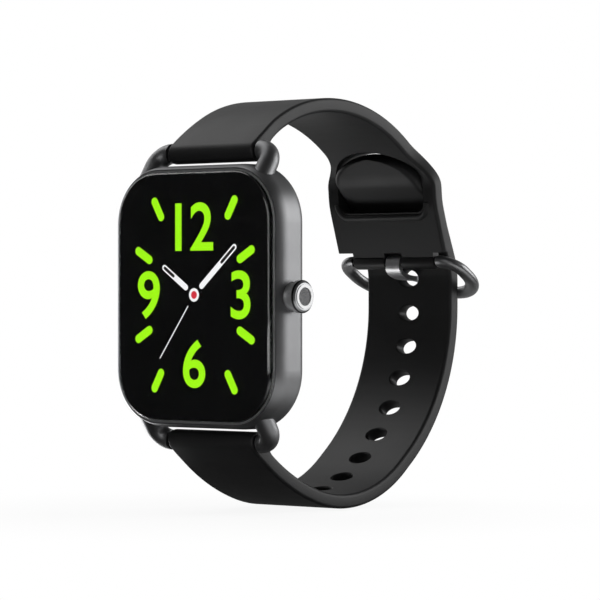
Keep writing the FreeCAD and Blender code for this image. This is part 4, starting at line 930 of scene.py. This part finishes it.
def hole_cutter(y, z, lean, worn=0.0):
    """Oval hole with rounded rims, across the strap at a point of its centre line."""
    rings = []
    for wider, depth in HOLE_RIM:
        ring = []
        for step in range(HOLE_STEPS):
            turn = 2 * math.pi * step / HOLE_STEPS
            length = HOLE_HALF_LENGTH + wider * mm + (worn if math.sin(turn) > 0 else 0.0)
            along = length * math.sin(turn)
            out = depth * mm
            ring.append(((HOLE_HALF_WIDTH + wider * mm) * math.cos(turn),
                         y + along * math.cos(lean) - out * math.sin(lean),
                         z + along * math.sin(lean) + out * math.cos(lean)))
        rings.append(ring)
    return skin_rings("hole", rings)


cutters = [bore_along_x("bar_bore", BAR_BORE, BAR_Y, -BAR_Z), lever_slot(-1)]
for index in range(HOLE_COUNT):
    _, y, z, lean = at_distance(lower, first[0] - index * HOLE_PITCH)
    cutters.append(hole_cutter(y, z, lean, USED_HOLE_WEAR if index == 0 else 0.0))
lower_mesh = combine(lower_mesh, cutters, "DIFFERENCE")
lower_piece = piece("lower_strap_silicone", lower_mesh, silicone.material, "watch", 32.0)
even_shading(lower_piece.data, lower)
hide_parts("lower_strap")


# ---- buckle --------------------------------------------------------------------------------------
# An open ring of flattened bar whose ends face each other on a pressed-in pin, and a flat tongue that
# is folded round the pin. Both have the same dark metallic coating, the tongue brushed.
buckle_metal = coated_metal("buckle_coating", (0.19, 0.191, 0.195, 1), (0.225, 0.227, 0.231, 1), 0.37)
paint_nodes(buckle_metal.material, "buckle_ring", "buckle_pin")
tang_finish = make_finish("brushed_tongue", 0.45, 1.0)
strokes = grain(tang_finish, 0.5 * mm, 4.0, (8.0, 1.0, 1.0))
drive(tang_finish, "Base Color", tang_finish.mix(strokes, (0.56, 0.562, 0.568, 1), (0.7, 0.702, 0.71, 1)))
drive(tang_finish, "Roughness", 0.42 + strokes * 0.12)
bump(tang_finish, strokes, 0.004 * mm, 0.3)
paint_nodes(tang_finish.material, "buckle_tang")


# ---- seals and moulded parts ---------------------------------------------------------------------
# Gaskets of black foam and rubber, and the moulded plastic pieces: the carrier inside, the switch body
# and plunger, the flex connector and the black rear cover, each with a spark-eroded mould grain.

def moulded(name, dark, pale, roughness, size, **fixed):
    """Plastic, foam or rubber with a mould grain of the given size."""
    finish = make_finish(name, roughness, 0.0, **fixed)
    cloud = grain(finish, 14 * size)
    fine = grain(finish, size, 3.0)
    drive(finish, "Base Color", finish.mix(cloud.smooth(0.3, 0.75), dark + (1,), pale + (1,)))
    drive(finish, "Roughness", roughness - 0.04 + fine * 0.08)
    bump(finish, fine, 0.05 * size, 0.4)
    return finish.material


paint_nodes(moulded("seal_foam", (0.018, 0.018, 0.019), (0.03, 0.03, 0.031), 0.85, 0.12 * mm),
            "glass_gasket", "back_gasket")
paint_nodes(moulded("seal_rubber", (0.014, 0.014, 0.015), (0.024, 0.024, 0.024), 0.6, 0.08 * mm),
            "crown_seals")
paint_nodes(moulded("carrier_plastic", (0.032, 0.033, 0.036), (0.05, 0.051, 0.055), 0.55, 0.15 * mm),
            "carrier")
paint_nodes(moulded("switch_plastic", (0.024, 0.024, 0.025), (0.04, 0.04, 0.042), 0.45, 0.1 * mm),
            "switch_body")
paint_nodes(moulded("connector_plastic", (0.5, 0.46, 0.36), (0.58, 0.54, 0.44), 0.42, 0.1 * mm),
            "switch_plunger", "flex_connector")
paint_nodes(moulded("rear_plastic", (0.012, 0.012, 0.013), (0.02, 0.02, 0.021), 0.24, 0.1 * mm,
                    Coat_Weight=0.4, Coat_Roughness=0.12), "back_cover")
paint_nodes(moulded("display_stack", (0.01, 0.01, 0.012), (0.016, 0.016, 0.02), 0.2, 0.3 * mm),
            "display_panel")
paint_nodes(moulded("chip_epoxy", (0.014, 0.014, 0.015), (0.025, 0.025, 0.026), 0.5, 0.05 * mm),
            "processor_chip", "memory_chip", "power_chip")


# ---- boards, flexes and battery ------------------------------------------------------------------
# Boards under dark green solder mask with fine traces, amber polyimide flexes with copper tracks, and
# a pouch cell in crinkled foil. All are glued, plugged or screwed to the carrier.

def printed(name, base, track, roughness, pitch):
    """Mask or film over tracks that follow the edges of a cell pattern."""
    finish = make_finish(name, roughness, 0.0)
    settings = {"feature": "DISTANCE_TO_EDGE", "distance": "CHEBYCHEV"}
    inputs = {"Vector": finish.place, "Scale": 1 / pitch, "Randomness": 0.6}
    cells = finish.node("ShaderNodeTexVoronoi", settings, inputs)
    gap = cells.smooth(0.05, 0.11)
    drive(finish, "Base Color", finish.mix(gap, track + (1,), base + (1,)))
    drive(finish, "Roughness", roughness + gap * 0.08)
    bump(finish, 1 - gap, 0.02 * mm, 0.5)
    return finish.material


paint_nodes(printed("board_mask", (0.008, 0.05, 0.032), (0.02, 0.11, 0.07), 0.32, 0.9 * mm),
            "main_board", "sensor_board")
paint_nodes(printed("flex_film", (0.38, 0.17, 0.04), (0.6, 0.34, 0.12), 0.36, 0.7 * mm),
            "display_flex", "battery_flex", "sensor_flex")
foil = make_finish("cell_foil", 0.3, 1.0)
creases = grain(foil, 1.6 * mm, 5.0)
drive(foil, "Base Color", foil.mix(creases, (0.52, 0.53, 0.54, 1), (0.66, 0.66, 0.67, 1)))
drive(foil, "Roughness", 0.24 + creases * 0.16)
bump(foil, creases, 0.12 * mm, 0.5)
paint_nodes(foil.material, "battery")


# ---- small metal parts ---------------------------------------------------------------------------
# Turned and stamped pieces: screws, stem, spring bars, pin and clip in steel; the shield and bracket
# tin-plated; gold-plated contacts and a brass bush; the motor's can, base and heavy tungsten weight.

def metal(name, dark, pale, roughness, size, stretch):
    """Bare or plated metal with tool or rolling marks drawn out along one direction."""
    finish = make_finish(name, roughness, 1.0)
    marks = grain(finish, size, 4.0, stretch)
    cloud = grain(finish, 12 * size)
    drive(finish, "Base Color", finish.mix(marks, dark + (1,), pale + (1,)))
    drive(finish, "Roughness", roughness - 0.05 + marks * 0.07 + cloud * 0.05)
    bump(finish, marks, 0.03 * size, 0.3)
    return finish.material


steel = metal("turned_steel", (0.46, 0.46, 0.47), (0.6, 0.6, 0.61), 0.28, 0.15 * mm, (1.0, 0.2, 0.2))
paint_nodes(steel, "board_screws", "motor_shaft", "crown_stem", "upper_bar_tube",
            "upper_bar_tip", "upper_bar_spring", "lower_bar_tube", "lower_bar_tip", "lower_bar_spring")
paint_nodes(metal("release_steel", (0.08, 0.08, 0.083), (0.12, 0.12, 0.125), 0.5, 0.12 * mm,
                  (1.0, 0.4, 0.4)), "upper_release", "lower_release")
paint_nodes(metal("tinned_steel", (0.5, 0.5, 0.51), (0.62, 0.62, 0.62), 0.36, 0.3 * mm, (0.2, 1.0, 1.0)),
            "shield_can", "stem_clip", "switch_bracket")
paint_nodes(metal("motor_can", (0.54, 0.54, 0.55), (0.66, 0.66, 0.66), 0.3, 0.2 * mm, (1.0, 1.0, 0.2)),
            "motor_cover", "motor_base")
paint_nodes(metal("motor_tungsten", (0.16, 0.16, 0.17), (0.24, 0.24, 0.25), 0.42, 0.1 * mm, (1.0, 1.0, 1.0)),
            "motor_rotor")
paint_nodes(metal("gold_plate", (0.78, 0.56, 0.22), (0.88, 0.67, 0.32), 0.22, 0.2 * mm, (1.0, 1.0, 1.0)),
            "charge_contacts")
paint_nodes(metal("bush_brass", (0.62, 0.43, 0.16), (0.72, 0.53, 0.24), 0.34, 0.15 * mm, (0.2, 1.0, 1.0)),
            "crown_bush")
paint_nodes(metal("magnet_nickel", (0.5, 0.49, 0.47), (0.6, 0.59, 0.57), 0.3, 0.25 * mm, (1.0, 1.0, 1.0)),
            "dock_magnets")


# ---- springs of the spring bars ------------------------------------------------------------------
# Fine steel wire wound inside each bar's tube, between its plug and the piston. The thumb lever squeezes
# them when it draws the piston in, but each coil here is drawn at its rest length.
WIRE_RADIUS = 0.11 * mm
COIL_RADIUS = 0.42 * mm
COIL_TURNS = 12
TURN_STEPS = 20
WIRE_SIDES = 10


def coil_spring(name, start, end, y, z):
    """Wire of round section wound along x."""
    rings = []
    count = COIL_TURNS * TURN_STEPS
    pitch = (end - start) / COIL_TURNS
    girth = 2 * math.pi * COIL_RADIUS
    for step in range(count + 1):
        turn = 2 * math.pi * step / TURN_STEPS
        spoke = Vector((0, math.cos(turn), math.sin(turn)))
        along = Vector((pitch, -girth * math.sin(turn), girth * math.cos(turn))).normalized()
        aside = along.cross(spoke)
        centre = Vector((start + (end - start) * step / count, y, z)) + spoke * COIL_RADIUS
        ring = []
        for side in range(WIRE_SIDES):
            round_wire = 2 * math.pi * side / WIRE_SIDES
            out = spoke * math.cos(round_wire) + aside * math.sin(round_wire)
            ring.append(tuple(centre + out * WIRE_RADIUS))
        rings.append(ring)
    return skin_rings(name, rings)


for up, prefix in ((1, "upper"), (-1, "lower")):
    low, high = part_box(prefix + "_bar_spring")
    slide = prefix + "_release_slide"
    travel = next(joint["range_m"][1] for joint in frame["joints"] if joint["name"] == slide)
    mesh = coil_spring(prefix + "_coil", low[0] + WIRE_RADIUS, high[0] - WIRE_RADIUS, BAR_Y, up * BAR_Z)
    coil = piece(prefix + "_coil", mesh, steel, "watch", 60.0)
    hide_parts(prefix + "_bar_spring")
    1 - travel / (high[0] - low[0])
    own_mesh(coil)


# ---- rear sensor ---------------------------------------------------------------------------------
# A dark glass window over green light sources and black photodiodes, glued into the rear cover.
window = make_finish("sensor_glass", 0.05, 0.0, Coat_Weight=0.5, Coat_Roughness=0.03)
tint = grain(window, 4 * mm)
drive(window, "Base Color", window.mix(tint, (0.006, 0.007, 0.009, 1), (0.011, 0.012, 0.016, 1)))
drive(window, "Roughness", 0.04 + tint.smooth(0.5, 0.8) * 0.04)
paint_nodes(window.material, "sensor_window")
lens = make_finish("led_lens", 0.2, 0.0, Coat_Weight=0.6, Coat_Roughness=0.05)
phosphor = grain(lens, 0.3 * mm)
drive(lens, "Base Color", lens.mix(phosphor, (0.16, 0.6, 0.24, 1), (0.26, 0.74, 0.34, 1)))
paint_nodes(lens.material, "sensor_leds")
diode = make_finish("diode_resin", 0.12, 0.0, Coat_Weight=0.5, Coat_Roughness=0.04)
ripple = grain(diode, 0.4 * mm)
drive(diode, "Base Color", diode.mix(ripple, (0.008, 0.008, 0.012, 1), (0.016, 0.015, 0.024, 1)))
paint_nodes(diode.material, "photodiodes")
